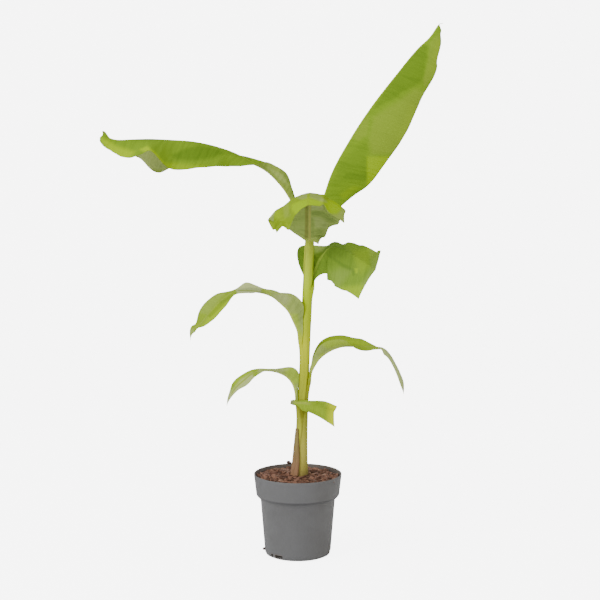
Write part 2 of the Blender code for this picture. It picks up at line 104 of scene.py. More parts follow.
class NodeDesk:
    """Lays out shader nodes in one material or group and joins their sockets."""

    def __init__(self, tree: bpy.types.NodeTree) -> None:
        """Keep the tree that the nodes go into."""
        self.tree = tree

    def feed(self, socket: bpy.types.NodeSocket, value: object) -> None:
        """Give a socket its value.

        Args:
            socket: The input to fill.
            value: Another socket to join to it, or a plain number or colour.
        """
        if isinstance(value, bpy.types.NodeSocket):
            self.tree.links.new(value, socket)
        elif socket.type == "RGBA":
            socket.default_value = (*value, 1.0)
        else:
            socket.default_value = value

    def put(
        self, kind: str, inputs: dict[object, object] | None = None, **settings: object
    ) -> bpy.types.Node:
        """Add one node.

        Args:
            kind: The node's type without its ShaderNode prefix.
            inputs: Values or sockets, by input name or number.
            settings: The node's own properties.

        Returns:
            The new node.
        """
        node = self.tree.nodes.new("ShaderNode" + kind)
        for key, value in settings.items():
            setattr(node, key, value)
        for key, value in (inputs or {}).items():
            self.feed(node.inputs[key], value)
        return node

    def math(self, operation: str, first: object, second: object = 0.0) -> Socket:
        """Return the result of one sum on two numbers or sockets."""
        return self.put("Math", {0: first, 1: second}, operation=operation).outputs[0]

    def times(self, first: object, second: object) -> Socket:
        """Return the product of two numbers or sockets."""
        return self.math("MULTIPLY", first, second)

    def ease(self, value: object, low: float, high: float, start: float = 0.0, end: float = 1.0) -> Socket:
        """Return a value eased from start at low to end at high."""
        inputs = {0: value, 1: low, 2: high, 3: start, 4: end}
        return self.put("MapRange", inputs, interpolation_type="SMOOTHSTEP").outputs[0]

    def mix(self, share: object, first: object, second: object, blend: str = "MIX") -> Socket:
        """Lay one colour over another.

        Args:
            share: How much of the second colour shows.
            first: The colour below.
            second: The colour above.
            blend: How they meet.

        Returns:
            The mixed colour.
        """
        node = self.put("Mix", data_type="RGBA", blend_type=blend)
        for index, value in ((0, share), (6, first), (7, second)):
            self.feed(node.inputs[index], value)
        return node.outputs[2]

    def tinted(self, colour: object, tint: Colour) -> Socket:
        """Return a colour multiplied by a tint."""
        return self.mix(1.0, colour, tint, "MULTIPLY")

    def clouds(self, place: object, scale: float, detail: float = 3.0, rough: float = 0.5) -> Socket:
        """Return soft random clouds over a place vector."""
        inputs = {"Vector": place, "Scale": scale, "Detail": detail, "Roughness": rough}
        return self.put("TexNoise", inputs).outputs[0]

    def stretched(self, place: object, scale: Colour) -> Socket:
        """Return a place vector with each axis scaled."""
        return self.put("Mapping", {"Vector": place, "Scale": scale}).outputs[0]

    def place(self) -> Socket:
        """Return the place on the object, in metres."""
        return self.put("TexCoord").outputs["Object"]

    def axes(self, place: object) -> bpy.types.bpy_prop_collection:
        """Return a place's x, y and z."""
        return self.put("SeparateXYZ", {0: place}).outputs

    def marks(self, name: str) -> tuple:
        """Return the red, green and blue sockets of a mesh's marks, and their alpha."""
        node = self.put("Attribute", attribute_name=name)
        return *self.put("SeparateColor", {0: node.outputs["Color"]}).outputs, node.outputs["Alpha"]

    def group(self, group: bpy.types.NodeTree, inputs: dict[str, object]) -> bpy.types.bpy_prop_collection:
        """Set a node group into the tree.

        Args:
            group: The group to use.
            inputs: Its values or sockets by name.

        Returns:
            The group's outputs.
        """
        node = self.tree.nodes.new("ShaderNodeGroup")
        node.node_tree = group
        for key, value in inputs.items():
            self.feed(node.inputs[key], value)
        return node.outputs

    def bump(self, shader: bpy.types.Node, height: object, depth: float) -> None:
        """Raise a material's fine relief.

        Args:
            shader: Its Principled shader.
            height: The relief, as a socket.
            depth: The relief's depth in metres.
        """
        node = self.put("Bump", {"Strength": 1.0, "Distance": depth, "Height": height})
        self.feed(shader.inputs["Normal"], node.outputs[0])


def new_group(name: str, inputs: dict[str, tuple[str, object]], outputs: tuple[str, ...]) -> tuple:
    """Start a shader node group with named sockets.

    Args:
        name: The group's name.
        inputs: Socket kind and default by input name; the default may be None.
        outputs: The names of its outputs: a colour where it is named Colour, else a number.

    Returns:
        The group, a desk for its nodes, its input node and its output node.
    """
    group = bpy.data.node_groups.new(name, "ShaderNodeTree")
    for label, (kind, default) in inputs.items():
        socket = group.interface.new_socket(label, in_out="INPUT", socket_type="NodeSocket" + kind)
        if default is not None:
            socket.default_value = default
    for label in outputs:
        kind = "Color" if label == "Colour" else "Float"
        group.interface.new_socket(label, in_out="OUTPUT", socket_type="NodeSocket" + kind)
    desk = NodeDesk(group)
    source = group.nodes.new("NodeGroupInput")
    sink = group.nodes.new("NodeGroupOutput")
    return group, desk, source, sink


@functools.cache
def vein_group() -> bpy.types.NodeTree:
    """Build the pattern of side veins, for a place measured along and across a leaf in centimetres.

    Returns:
        The group: how near a vein is, slow bands between the veins, and their relief.
    """
    group, desk, source, sink = new_group(
        "side veins",
        {"Place": ("Vector", None), "Spacing": ("Float", 0.7), "Sweep": ("Float", 0.3)},
        ("Line", "Band", "Relief"),
    )
    split = desk.axes(source.outputs["Place"])
    across = desk.math("ABSOLUTE", split[1])
    wander = desk.times(desk.clouds(source.outputs["Place"], 0.5, 2.0), 0.5)
    swept = desk.times(across, source.outputs["Sweep"])
    along = desk.math("ADD", desk.math("SUBTRACT", split[0], swept), wander)
    turn = desk.times(desk.math("DIVIDE", along, source.outputs["Spacing"]), math.tau)
    main = desk.math("SINE", turn)
    fine = desk.math("SINE", desk.times(turn, 4.0))
    streak = desk.put("CombineXYZ", {0: along, 1: desk.times(across, 0.12)})
    values = {
        "Line": desk.ease(main, 0.8, 1.0),
        "Band": desk.clouds(streak.outputs[0], 1.5, 2.5, 0.6),
        "Relief": desk.math("ADD", desk.times(main, 0.6), desk.times(fine, 0.2)),
    }
    for label, value in values.items():
        desk.feed(sink.inputs[label], value)
    return group


@functools.cache
def fibre_group() -> bpy.types.NodeTree:
    """Build the grain of long fibres that stem, dry sheath and bark share.

    Returns:
        The group, whose input stretches the place to the way the fibres run.
    """
    group, desk, source, sink = new_group(
        "long fibres",
        {"Place": ("Vector", None), "Stretch": ("Vector", (60.0, 60.0, 4.0))},
        ("Streak", "Relief"),
    )
    factors = {0: source.outputs["Place"], 1: source.outputs["Stretch"]}
    scaled = desk.put("VectorMath", factors, operation="MULTIPLY").outputs[0]
    streak = desk.clouds(scaled, 4.0, 4.0, 0.6)
    threads = desk.clouds(scaled, 16.0, 2.0, 0.7)
    desk.feed(sink.inputs["Streak"], desk.ease(streak, 0.3, 0.7))
    desk.feed(sink.inputs["Relief"], desk.math("ADD", streak, desk.times(threads, 0.5)))
    return group


@functools.cache
def speck_group() -> bpy.types.NodeTree:
    """Build the small specks that sit on pot, stem and leaves: crumbs, dust and freckles.

    Returns:
        The group: the specks and the soft haze that they lie in.
    """
    group, desk, source, sink = new_group(
        "small specks",
        {"Place": ("Vector", None), "Scale": ("Float", 300.0), "Cover": ("Float", 0.2)},
        ("Speck", "Haze"),
    )
    cells = desk.put("TexVoronoi", {"Vector": source.outputs["Place"], "Scale": source.outputs["Scale"]})
    size = desk.times(source.outputs["Cover"], 0.6)
    near = desk.math("SUBTRACT", size, cells.outputs["Distance"])
    haze = desk.clouds(source.outputs["Place"], 28.0, 4.0, 0.6)
    patchy = desk.ease(haze, 0.45, 0.65)
    desk.feed(sink.inputs["Speck"], desk.times(desk.ease(near, 0.0, 0.08), patchy))
    desk.feed(sink.inputs["Haze"], desk.ease(haze, 0.35, 0.7))
    return group


STEM_TONES: tuple[tuple[float, Colour], ...] = (
    (112, (0.25, 0.19, 0.060)), (122, (0.42, 0.37, 0.070)), (146, (0.52, 0.48, 0.075)),
    (170, (0.40, 0.40, 0.045)), (200, (0.29, 0.32, 0.022)), (229, (0.33, 0.36, 0.018)),
    (262, (0.46, 0.51, 0.012)), (290, (0.58, 0.62, 0.010)), (312, (0.42, 0.50, 0.005)),
    (345, (0.42, 0.55, 0.004)), (372, (0.51, 0.67, 0.008)), (405, (0.46, 0.58, 0.026)),
    (430, (0.42, 0.50, 0.055)),
)


@functools.cache
def stem_tone_group() -> bpy.types.NodeTree:
    """Build the stem's colour by height and along its fibres, which its sheaths share.

    Returns:
        The group: the colour and the fibres' relief.
    """
    group, desk, source, sink = new_group("stem tone", {"Place": ("Vector", None)}, ("Colour", "Relief"))
    height = desk.axes(source.outputs["Place"])[2]
    low, high = STEM_TONES[0][0], STEM_TONES[-1][0]
    share = desk.put("MapRange", {0: height, 1: low * MM, 2: high * MM}).outputs[0]
    ramp = desk.put("ValToRGB", {0: share})
    ramp.color_ramp.interpolation = "B_SPLINE"
    while len(ramp.color_ramp.elements) < len(STEM_TONES):
        ramp.color_ramp.elements.new(0.5)
    for element, (at, colour) in zip(ramp.color_ramp.elements, STEM_TONES):
        element.position = (at - low) / (high - low)
        element.color = (*colour, 1.0)
    fibres = desk.group(fibre_group(), {"Place": source.outputs["Place"], "Stretch": (70.0, 70.0, 3.0)})
    shaded = desk.tinted(ramp.outputs[0], (0.70, 0.72, 0.6))
    colour = desk.mix(desk.times(fibres["Streak"], 0.45), ramp.outputs[0], shaded)
    desk.feed(sink.inputs["Colour"], colour)
    desk.feed(sink.inputs["Relief"], fibres["Relief"])
    return group


def new_material(name: str, specular: float) -> tuple[bpy.types.Material, NodeDesk, bpy.types.Node]:
    """Start a material.

    Args:
        name: The material's name.
        specular: How strongly it mirrors, the same all over.

    Returns:
        The material, a desk for its nodes, and its Principled shader.
    """
    material = bpy.data.materials.new(name)
    material.use_nodes = True
    shader = material.node_tree.nodes["Principled BSDF"]
    shader.inputs["Specular IOR Level"].default_value = specular
    return material, NodeDesk(material.node_tree), shader


@dataclass(frozen=True)
class LeafFinish:
    """The colours of one kind of leaf, from fresh to old, with those of its painted light and shade."""

    name: str
    blade: Colour
    # bright is the colour of the painted light; shade tints the painted shade and the bands between the veins.
    bright: Colour
    shade: Colour
    # The pale bloom colours of both faces also carry painted light.
    bloom_and_light: Colour
    under: Colour
    under_bloom_and_light: Colour
    rib: Colour
    under_rib: Colour
    dry: Colour = (0.24, 0.20, 0.10)
    roughness: float = 0.52
    band: float = 0.4

    @functools.cached_property
    def material(self) -> bpy.types.Material:
        """Build the leaf's material: blade, veins, midrib, patches of painted light and shade, sheath and dry
        tissue.

        Returns:
            The material, which reads the leaf's tones and build marks.
        """
        material, desk, shader = new_material(self.name, 0.06)
        uv = desk.put("UVMap", uv_map="leaf_cm").outputs[0]
        bright, dark, bloom_and_light_share, dried = desk.marks("tones")
        under, clasp, edge, ribbed = desk.marks("build")
        veins = desk.group(vein_group(), {"Place": uv})
        across = desk.math("ABSOLUTE", desk.axes(uv)[1])
        colour = desk.mix(under, self.blade, self.under)
        shaded = desk.tinted(colour, self.shade)
        colour = desk.mix(desk.times(desk.ease(veins["Band"], 0.42, 0.68), self.band), colour, shaded)
        # Pale bloom patches lay pale bloom with painted light over the blade, and bright patches lay painted
        # light.
        bloom_and_light = desk.mix(under, self.bloom_and_light, self.under_bloom_and_light)
        colour = desk.mix(bloom_and_light_share, desk.mix(bright, colour, self.bright), bloom_and_light)
        ridge = desk.times(desk.ease(across, 0.10, 0.22, 1.0, 0.0), ribbed)
        colour = desk.mix(ridge, colour, desk.mix(under, self.rib, self.under_rib))
        # Dark patches lay painted shade over the blade and its midrib.
        colour = desk.mix(dark, colour, desk.tinted(colour, self.shade))
        lit = desk.tinted(colour, (1.16, 1.12, 1.3))
        colour = desk.mix(desk.times(veins["Line"], 0.35), colour, lit)
        place = desk.place()
        stem = desk.group(stem_tone_group(), {"Place": place})["Colour"]
        colour = desk.mix(clasp, colour, stem)
        rim = desk.times(desk.ease(edge, 0.955, 0.995), 0.4)
        colour = desk.mix(rim, colour, desk.tinted(colour, (0.72, 0.66, 0.7)))
        specks = desk.group(speck_group(), {"Place": uv, "Scale": 3.2, "Cover": 0.28})
        worn = desk.math("MAXIMUM", dried, desk.times(specks["Speck"], 0.22))
        desk.feed(shader.inputs["Base Color"], desk.mix(worn, colour, self.dry))
        gloss = desk.times(desk.math("SUBTRACT", specks["Haze"], 0.5), 0.12)
        rough = desk.math("ADD", desk.math("MULTIPLY_ADD", dried, 0.3), gloss)
        desk.feed(shader.inputs["Roughness"], desk.math("ADD", rough, self.roughness))
        desk.bump(shader, veins["Relief"], 0.00022)
        return material


@dataclass(frozen=True)
class Patch:
    """A patch of a leaf that is brighter with painted light, darker with painted shade, paler with bloom and
    painted light, or drier than the rest.

    corners are its outline's x and z in millimetres, seen from the front, and soft is how far its
    edge fades to either side. half is 1 or -1 to keep to the leaf's left or right half.
    """

    tone: Tone
    corners: tuple[tuple[float, float], ...]
    soft: float = 3.0
    strength: float = 1.0
    face: Face = Face.BOTH
    half: int = 0

    def distance(self, x: float, z: float) -> float:
        """Return how far a place is from the outline, less than 0 inside it.

        Args:
            x: The place from left to right.
            z: Its height.

        Returns:
            The distance in millimetres.
        """
        nearest, inside = math.inf, False
        for (ax, az), (bx, bz) in zip(self.corners, (*self.corners[1:], self.corners[0])):
            ex, ez = bx - ax, bz - az
            share = min(max(((x - ax) * ex + (z - az) * ez) / (ex * ex + ez * ez), 0.0), 1.0)
            nearest = min(nearest, math.hypot(x - ax - share * ex, z - az - share * ez))
            if (az > z) != (bz > z) and x < ax + (z - az) / (bz - az) * ex:
                inside = not inside
        return -nearest if inside else nearest

    def weight(self, point: Vector, across: float, under: bool) -> float:
        """Say how strongly the patch colours a point.

        Args:
            point: The place on the leaf, in millimetres.
            across: The share of the half width, with its side's sign.
            under: Whether the point is on the under face.

        Returns:
            A share from 0 to the patch's strength.
        """
        if self.face is (Face.UPPER if under else Face.UNDER) or self.half * across < 0:
            return 0.0
        return self.strength * (1 - smooth(self.distance(point.x, point.z), -self.soft, self.soft))


class RibCurve:
    """A smooth curve through a leaf's stations, each a place followed by widths and droops."""

    def __init__(self, rows: list[tuple[float, ...]]) -> None:
        """Measure the curve and work out its slope at every station.

        Args:
            rows: The stations, each starting with its x, y and z.
        """
        self.rows = rows
        reach = [0.0]
        for low, high in zip(rows, rows[1:]):
            reach.append(reach[-1] + math.dist(low[:3], high[:3]))
        self.length = reach[-1]
        self.knots = [value / self.length for value in reach]
        spans = [b - a for a, b in zip(self.knots, self.knots[1:])]
        chords = [
            [(q - p) / span for p, q in zip(low, high)] for low, high, span in zip(rows, rows[1:], spans)
        ]
        inner = [
            [(p * after + q * before) / (before + after) for p, q in zip(low, high)]
            for low, high, before, after in zip(chords, chords[1:], spans, spans[1:])
        ]
        self.slopes = [chords[0], *inner, chords[-1]]

    def at(self, place: float) -> list[float]:
        """Return the station at this share of the curve's length.

        Args:
            place: The share, from 0 to 1.

        Returns:
            Its numbers, in a station's order.
        """
        index = min(sum(place >= knot for knot in self.knots[1:-1]), len(self.knots) - 2)
        span = self.knots[index + 1] - self.knots[index]
        t = (place - self.knots[index]) / span
        weights = (
            (1 + 2 * t) * (1 - t) ** 2, t * (1 - t) ** 2 * span,
            t * t * (3 - 2 * t), t * t * (t - 1) * span,
        )
        columns = zip(self.rows[index], self.slopes[index], self.rows[index + 1], self.slopes[index + 1])
        return [sum(w * v for w, v in zip(weights, values)) for values in columns]


def new_object(name: str, data: bpy.types.ID) -> bpy.types.Object:
    """Stand a new object in the scene.

    Args:
        name: Its name.
        data: Its mesh, lamp or camera.

    Returns:
        The object, at the origin.
    """
    made = bpy.data.objects.new(name, data)
    bpy.context.scene.collection.objects.link(made)
    return made


def new_mesh(name: str, mesh: bmesh.types.BMesh) -> bpy.types.Mesh:
    """Keep a finished bmesh as a mesh.

    Args:
        name: The mesh's name.
        mesh: The shape, which is used up.

    Returns:
        The mesh.
    """
    data = bpy.data.meshes.new(name)
    mesh.to_mesh(data)
    mesh.free()
    return data


def turn_profile(
    mesh: bmesh.types.BMesh, profile: list[tuple[float, float]], steps: int, near: float
) -> None:
    """Turn a profile all the way round the upright axis.

    Args:
        mesh: The bmesh to turn it in.
        profile: Its points, as radius and height.
        steps: How many faces the turn takes.
        near: How near points are merged.
    """
    points = [mesh.verts.new((radius, 0.0, height)) for radius, height in profile]
    edges = [mesh.edges.new(pair) for pair in zip(points, points[1:])]
    bmesh.ops.spin(
        mesh, geom=points + edges, axis=UP, cent=(0, 0, 0), angle=math.tau, steps=steps, use_merge=True
    )
    bmesh.ops.remove_doubles(mesh, verts=mesh.verts, dist=near)


def surface_piece(
    mesh: bmesh.types.BMesh, name: str, material: bpy.types.Material, sharp: float = 50.0
) -> bpy.types.Object:
    """Turn a finished bmesh into a named piece that rides on the plant.

    Args:
        mesh: The shape, which is used up.
        name: The piece's name.
        material: Its finish.
        sharp: The angle from which an edge shades sharp.

    Returns:
        The piece, standing at the origin.
    """
    data = new_mesh(name, mesh)
    data.materials.append(material)
    data.shade_smooth()
    data.set_sharp_from_angle(angle=math.radians(sharp))
    piece = new_object(name, data)
    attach(piece, "root")
    return piece


@dataclass(frozen=True)
class StemFinish:
    """The stem's sheaths: colour by height, long fibres, sheath edges with a painted highlight beside each,
    painted shade on the flanks and under the small cut leaf, and foot freckles.
    """

    # Tint of the painted shade on the stem's left and right flanks.
    flank_shade: Colour = (0.74, 0.76, 0.7)
    seam: Colour = (0.17, 0.15, 0.015)
    lit_seam: Colour = (0.54, 0.58, 0.02)
    # Colour of the painted shadow on the stem under the small cut leaf.
    under_leaf_shadow: Colour = (0.13, 0.13, 0.008)
    freckle: Colour = (0.09, 0.05, 0.02)
    freckled: tuple[float, float] = (0.11, 0.15)

    @functools.cached_property
    def material(self) -> bpy.types.Material:
        """Build the stem's finish.

        Returns:
            The material, which reads the stem's seams.
        """
        material, desk, shader = new_material("stem sheaths", 0.10)
        place = desk.place()
        seam, lit, under_leaf_shadow, flank_shade = desk.marks("seams")
        height = desk.axes(place)[2]
        tone = desk.group(stem_tone_group(), {"Place": place})
        specks = desk.group(speck_group(), {"Place": place, "Scale": 420.0, "Cover": 0.5})
        # Painted shade: the flanks darker than the front and back.
        colour = desk.mix(flank_shade, tone["Colour"], desk.tinted(tone["Colour"], self.flank_shade))
        colour = desk.mix(desk.times(seam, 0.5), colour, self.seam)
        colour = desk.mix(desk.times(lit, 0.4), colour, self.lit_seam)
        # Painted shadow on the stem under the small cut leaf.
        colour = desk.mix(under_leaf_shadow, colour, self.under_leaf_shadow)
        low = desk.ease(height, *self.freckled, 0.8, 0.0)
        colour = desk.mix(desk.times(low, specks["Speck"]), colour, self.freckle)
        desk.feed(shader.inputs["Base Color"], colour)
        desk.feed(shader.inputs["Roughness"], desk.ease(tone["Relief"], 0.3, 1.2, 0.42, 0.58))
        desk.bump(shader, tone["Relief"], 0.00025)
        return material


@dataclass
class Pseudostem:
    """The stem of rolled sheaths, leaning to the right and swelling at its foot."""

    foot_x: float = 3.0
    lean: float = 0.040
    rim_height: float = 112.0
    girths: tuple[tuple[float, float], ...] = (
        (78, 9.0), (92, 11.0), (108, 11.2), (122, 10.0), (150, 8.5), (190, 7.5),
        (250, 6.8), (320, 6.6), (380, 6.3), (430, 5.8), (446, 4.6), (452, 2.2),
    )
    edge_depth: float = 0.5
    edge_count: int = 2
    edge_twist: float = 3.1
    flutes: tuple[float, int] = (0.06, 9)
    rough: float = 0.12
    wave: float = 0.02
    # Where the painted shadow under the small cut leaf lies on the stem.
    under_leaf_shadow_bearing: float = -97.0
    under_leaf_shadow_spread: tuple[float, float] = (15.0, 33.0)
    under_leaf_shadow_flare: tuple[float, float] = (186.0, 204.0)
    under_leaf_shadow_foot: tuple[float, float] = (172.0, 198.0)
    under_leaf_shadow_top: tuple[float, float] = (205.0, 209.0)
    sides: int = 72
    rings: int = 150
    finish: StemFinish = StemFinish()

    @functools.cached_property
    def girth(self) -> RibCurve:
        """Return the curve of radius over height."""
        return RibCurve([(0.0, 0.0, height, radius) for height, radius in self.girths])

    def radius(self, height: float) -> float:
        """Return the stem's radius at a height."""
        low, high = self.girths[0][0], self.girths[-1][0]
        return self.girth.at(min(max((height - low) / (high - low), 0.0), 1.0))[3]

    def axis(self, height: float) -> Vector:
        """Return the middle of the stem at a height."""
        return Vector((self.foot_x + self.lean * (height - self.rim_height), 0.0, height))

    def clear(self, point: Vector, gap: float = GAP) -> Vector:
        """Move a point straight out to the stem's surface where it would lie inside it.

        Args:
            point: The point in millimetres.
            gap: How far off the surface it stays.

        Returns:
            The moved point.
        """
        if not self.girths[0][0] < point.z < self.girths[-1][0]:
            return point
        away = point - self.axis(point.z)
        reach = self.radius(point.z) + self.edge_depth + gap
        return self.axis(point.z) + away * max(1.0, reach / away.length)

    def build(self) -> bpy.types.Object:
        """Turn the stem's rings up its axis and mark the edges of its sheaths with their painted highlights,
        and the stem's painted shade.

        Returns:
            The stem's piece.
        """
        mesh = bmesh.new()
        bmesh.ops.create_circle(mesh, cap_ends=False, radius=1.0, segments=self.sides)
        ring = mesh.edges[:]
        bmesh.ops.contextual_create(mesh, geom=ring)
        for index in range(1, self.rings + 1):
            grown = bmesh.ops.extrude_edge_only(mesh, edges=ring)["geom"]
            ring = [item for item in grown if isinstance(item, bmesh.types.BMEdge)]
            for vertex in {vertex for edge in ring for vertex in edge.verts}:
                vertex.co.z = float(index)
        bmesh.ops.contextual_create(mesh, geom=ring)
        seams = mesh.verts.layers.float_color.new("seams")
        low, high = self.girths[0][0], self.girths[-1][0]
        for vertex in mesh.verts:
            height = low + (high - low) * vertex.co.z / self.rings
            bearing = math.atan2(vertex.co.y, vertex.co.x)
            turn = (self.edge_count * bearing / math.tau - self.edge_twist * height * MM) % 1.0
            step = turn * (1 - smooth(turn, 0.94, 1.0))
            depth, count = self.flutes
            ridges = depth * math.sin(count * bearing + self.wave * height)
            ridges += self.rough * noise.noise(Vector((bearing, self.wave * height, 3)))
            reach = self.radius(height) + self.edge_depth * step + ridges
            vertex[seams] = (
                smooth(turn, 0.9, 0.97) * (1 - smooth(turn, 0.985, 1.0)),
                smooth(turn, 0.72, 0.88) * (1 - smooth(turn, 0.89, 0.93)),
                # Painted shadow under the small cut leaf.
                0.85 * self.under_leaf_shadow(bearing, height),
                # Painted shade on the left and right flanks.
                0.8 * smooth(abs(math.cos(bearing)), 0.55, 1.0),
            )
            side = Vector((math.cos(bearing), math.sin(bearing), 0))
            vertex.co = (self.axis(height) + side * reach) * MM
        bmesh.ops.recalc_face_normals(mesh, faces=mesh.faces)
        stem = surface_piece(mesh, "stem_sheaths", self.finish.material)
        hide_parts("pseudostem")
        return stem

    def under_leaf_shadow(self, bearing: float, height: float) -> float:
        """Say how deep in the painted shadow under the small cut leaf a point lies.

        Args:
            bearing: The point's bearing on the stem, in radians.
            height: Its height.

        Returns:
            A share from 0 to 1.
        """
        narrow, flare = self.under_leaf_shadow_spread
        aside = abs((math.degrees(bearing) - self.under_leaf_shadow_bearing + 180) % 360 - 180)
        aside /= narrow + flare * smooth(height, *self.under_leaf_shadow_flare)
        level = smooth(height, *self.under_leaf_shadow_foot) * (1 - smooth(height, *self.under_leaf_shadow_top))
        return (1 - smooth(aside, 0.3, 1.0)) * level


STEM = Pseudostem()


class RibFrame(NamedTuple):
    """The rib's place and directions in one row of a leaf, with its station."""

    origin: Vector
    tangent: Vector
    normal: Vector
    left: Vector
    station: list[float]


@dataclass
class BananaLeaf:
    """One leaf from its strip of sheath on the stem to its tip or its cut end.

    heading is the way it points, from +X towards +Y. sheath is the strip's bearing on the stem, its
    lowest and highest height and its half width, or empty. Each station is the rib's x, y and z,
    then the left half's width and droop and the right half's, and where they stand the lean of
    the left and right margins towards the tip.
    """

    node: str
    heading: float
    sheath: tuple[float, ...]
    stations: tuple[tuple[float, ...], ...]
    finish: LeafFinish
    rib: float = 2.2
    drape_left: tuple[tuple[float, float], ...] = ()
    drape_right: tuple[tuple[float, float], ...] = ()
    drape_start: float = 0.62
    rib_end: float = 1.2
    rows: int = 150
    half_columns: int = 18
    patches: tuple[Patch, ...] = ()
    ripple: float = 0.7
    ripple_length: float = 31.0
    pleat: float = 0.13
    thickness: float = 0.5
    strip_widths: tuple[float, float, float] = (0.35, 1.0, 1.0)
    sunk: float = 1.3
    slot: str = "leaf"
    arch: float = 0.13
    turn_share: float = 0.3
    steep: float = 35.0
    loosens: float = 0.12
    ripple_shift: float = 1.7
    pleat_length: float = 7.0
    pleat_slant: float = 0.3
    crease: tuple[float, float] = (0.45, 1.3)
    rib_breadth: tuple[float, float] = (0.8, 0.9)
    edge_thinning: float = 0.45
    strip_gap: float = 0.4
    probe: float = 1e-3

    @functools.cached_property
    def curve(self) -> RibCurve:
        """Return the curve through the sheath's strip and the stations."""
        strip = self.strip_rows() if self.sheath else []
        return RibCurve([(*row, 0.0, 0.0)[:9] for row in (*strip, *self.stations)])

    def strip_rows(self) -> list[tuple[float, ...]]:
        """Return stations for the strip of sheath that hugs the stem.

        Returns:
            Its stations, from its lowest point up.
        """
        bearing, low, high, half_width = self.sheath
        rows = []
        for share, width in zip((0.0, 0.4, 1.0), self.strip_widths):
            height = low + share * (high - low)
            reach = STEM.radius(height) + STEM.edge_depth + self.strip_gap
            place = STEM.axis(height) + heading_vector(bearing) * reach
            wrap = -math.degrees(math.asin(width * half_width / (2 * reach)))
            rows.append((*place, width * half_width, wrap, width * half_width, wrap))
        return rows

    def frame_at(self, along: float) -> RibFrame:
        """Return the rib's frame at this share of the leaf's length.

        Args:
            along: The share, from 0 to 1.

        Returns:
            The frame, with the station there.
        """
        station = self.curve.at(along)
        before = self.curve.at(max(along - self.probe, 0.0))
        after = self.curve.at(min(along + self.probe, 1.0))
        tangent = (Vector(after[:3]) - Vector(before[:3])).normalized()
        first = self.curve.knots[2]
        foot = UP.cross(heading_vector(self.sheath[0] if self.sheath else self.heading))
        share = smooth(along, first, first + max(self.turn_share * (1 - first), 1e-6))
        side = foot.lerp(UP.cross(heading_vector(self.heading)), share)
        normal = tangent.cross(side).normalized()
        return RibFrame(Vector(station[:3]), tangent, normal, normal.cross(tangent), station)

    def upper(self, rib: RibFrame, along: float, across: float) -> Vector:
        """Place a point of the upper face.

        Args:
            rib: The rib's frame in this row.
            along: The share of the leaf's length.
            across: The share of the half width, positive on the left.

        Returns:
            The point in millimetres.
        """
        hand = 1 if across >= 0 else -1
        width, droop = rib.station[3:5] if hand > 0 else rib.station[5:7]
        width = max(width, NARROW)
        angle = math.radians(droop)
        outward = rib.left * hand * math.cos(angle) - rib.normal * math.sin(angle)
        raised = rib.normal * math.cos(angle) + rib.left * hand * math.sin(angle)
        share = abs(across)
        lift = self.arch * max(-1.0, min(1.0, droop / self.steep)) * 4 * share * (1 - share) * width
        reach = along * self.curve.length
        knee = self.curve.knots[2] if self.sheath else 0.0
        free = smooth(along, knee, knee + self.loosens) if self.sheath else 1.0
        broad = min(width / 25, 1.0) * free
        wave = math.tau * reach / self.ripple_length + self.ripple_shift * hand
        lift += self.ripple * broad * share**2 * math.sin(wave)
        fold = math.tau * (reach - self.pleat_slant * share * width) / self.pleat_length
        lift += self.pleat * broad * 4 * share * (1 - share) * math.sin(fold)
        sink, breadth = self.crease
        lift -= sink * (1 - along) * math.exp(-((share * width / breadth) ** 2))
        lean = rib.station[7] if hand > 0 else rib.station[8]
        point = rib.origin + outward * width * share + raised * lift + rib.tangent * lean * share
        point.z -= self.drape(along, share, self.drape_left if hand > 0 else self.drape_right)
        if along >= knee:
            return STEM.clear(point)
        gap = GAP - self.sunk * (1 - along / knee + 0.3 * share**2)
        axis = STEM.axis(point.z)
        away = point - axis
        return axis + away * ((STEM.radius(point.z) + STEM.edge_depth + gap) / away.length)

    def drape(self, along: float, share: float, knots: tuple[tuple[float, float], ...]) -> float:
        """Return how far a half hangs down near the cut end, in millimetres.

        Args:
            along: The share of the leaf's length.
            share: The share of the half width.
            knots: The drop at the cut end, by share of the half width.

        Returns:
            The drop, growing from nothing where the drape starts.
        """
        for (low, drop), (high, after) in zip(knots, knots[1:]):
            if low <= share <= high:
                growth = max(along - self.drape_start, 0.0) / (1 - self.drape_start)
                return growth**1.3 * (drop + (after - drop) * (share - low) / (high - low))
        return 0.0

    def depth(self, rib: RibFrame, along: float, across: float) -> float:
        """Return the leaf's thickness at a place: its blade, and the rib under its middle.

        Args:
            rib: The rib's frame in this row.
            along: The share of the leaf's length.
            across: The share of the half width, positive on the left.

        Returns:
            The thickness in millimetres.
        """
        width = max(rib.station[3] if across >= 0 else rib.station[5], NARROW)
        least, growth = self.rib_breadth
        aside = abs(across) * width / (least + growth * self.rib)
        ridge = self.rib * (1 - along) ** 0.8 * math.exp(-(aside**2))
        thin = 1 - self.edge_thinning * abs(across) ** 3
        start = smooth(along, 0.3 * self.curve.knots[2], 1.6 * self.curve.knots[2]) if self.sheath else 1.0
        return self.thickness * thin + ridge * (0.1 + 0.9 * start)

    def tones(self, point: Vector, across: float, under: bool) -> list[float]:
        """Return the leaf's painted light, painted shade, pale bloom with painted light, and dryness at a
        point in millimetres.

        Args:
            point: The point in millimetres.
            across: The share of the half width.
            under: Whether it is on the under face.

        Returns:
            A share for each tone.
        """
        values = [0.0, 0.0, 0.0, 0.0]
        for patch in self.patches:
            index = patch.tone.value
            values[index] = max(values[index], patch.weight(point, across, under))
        return values

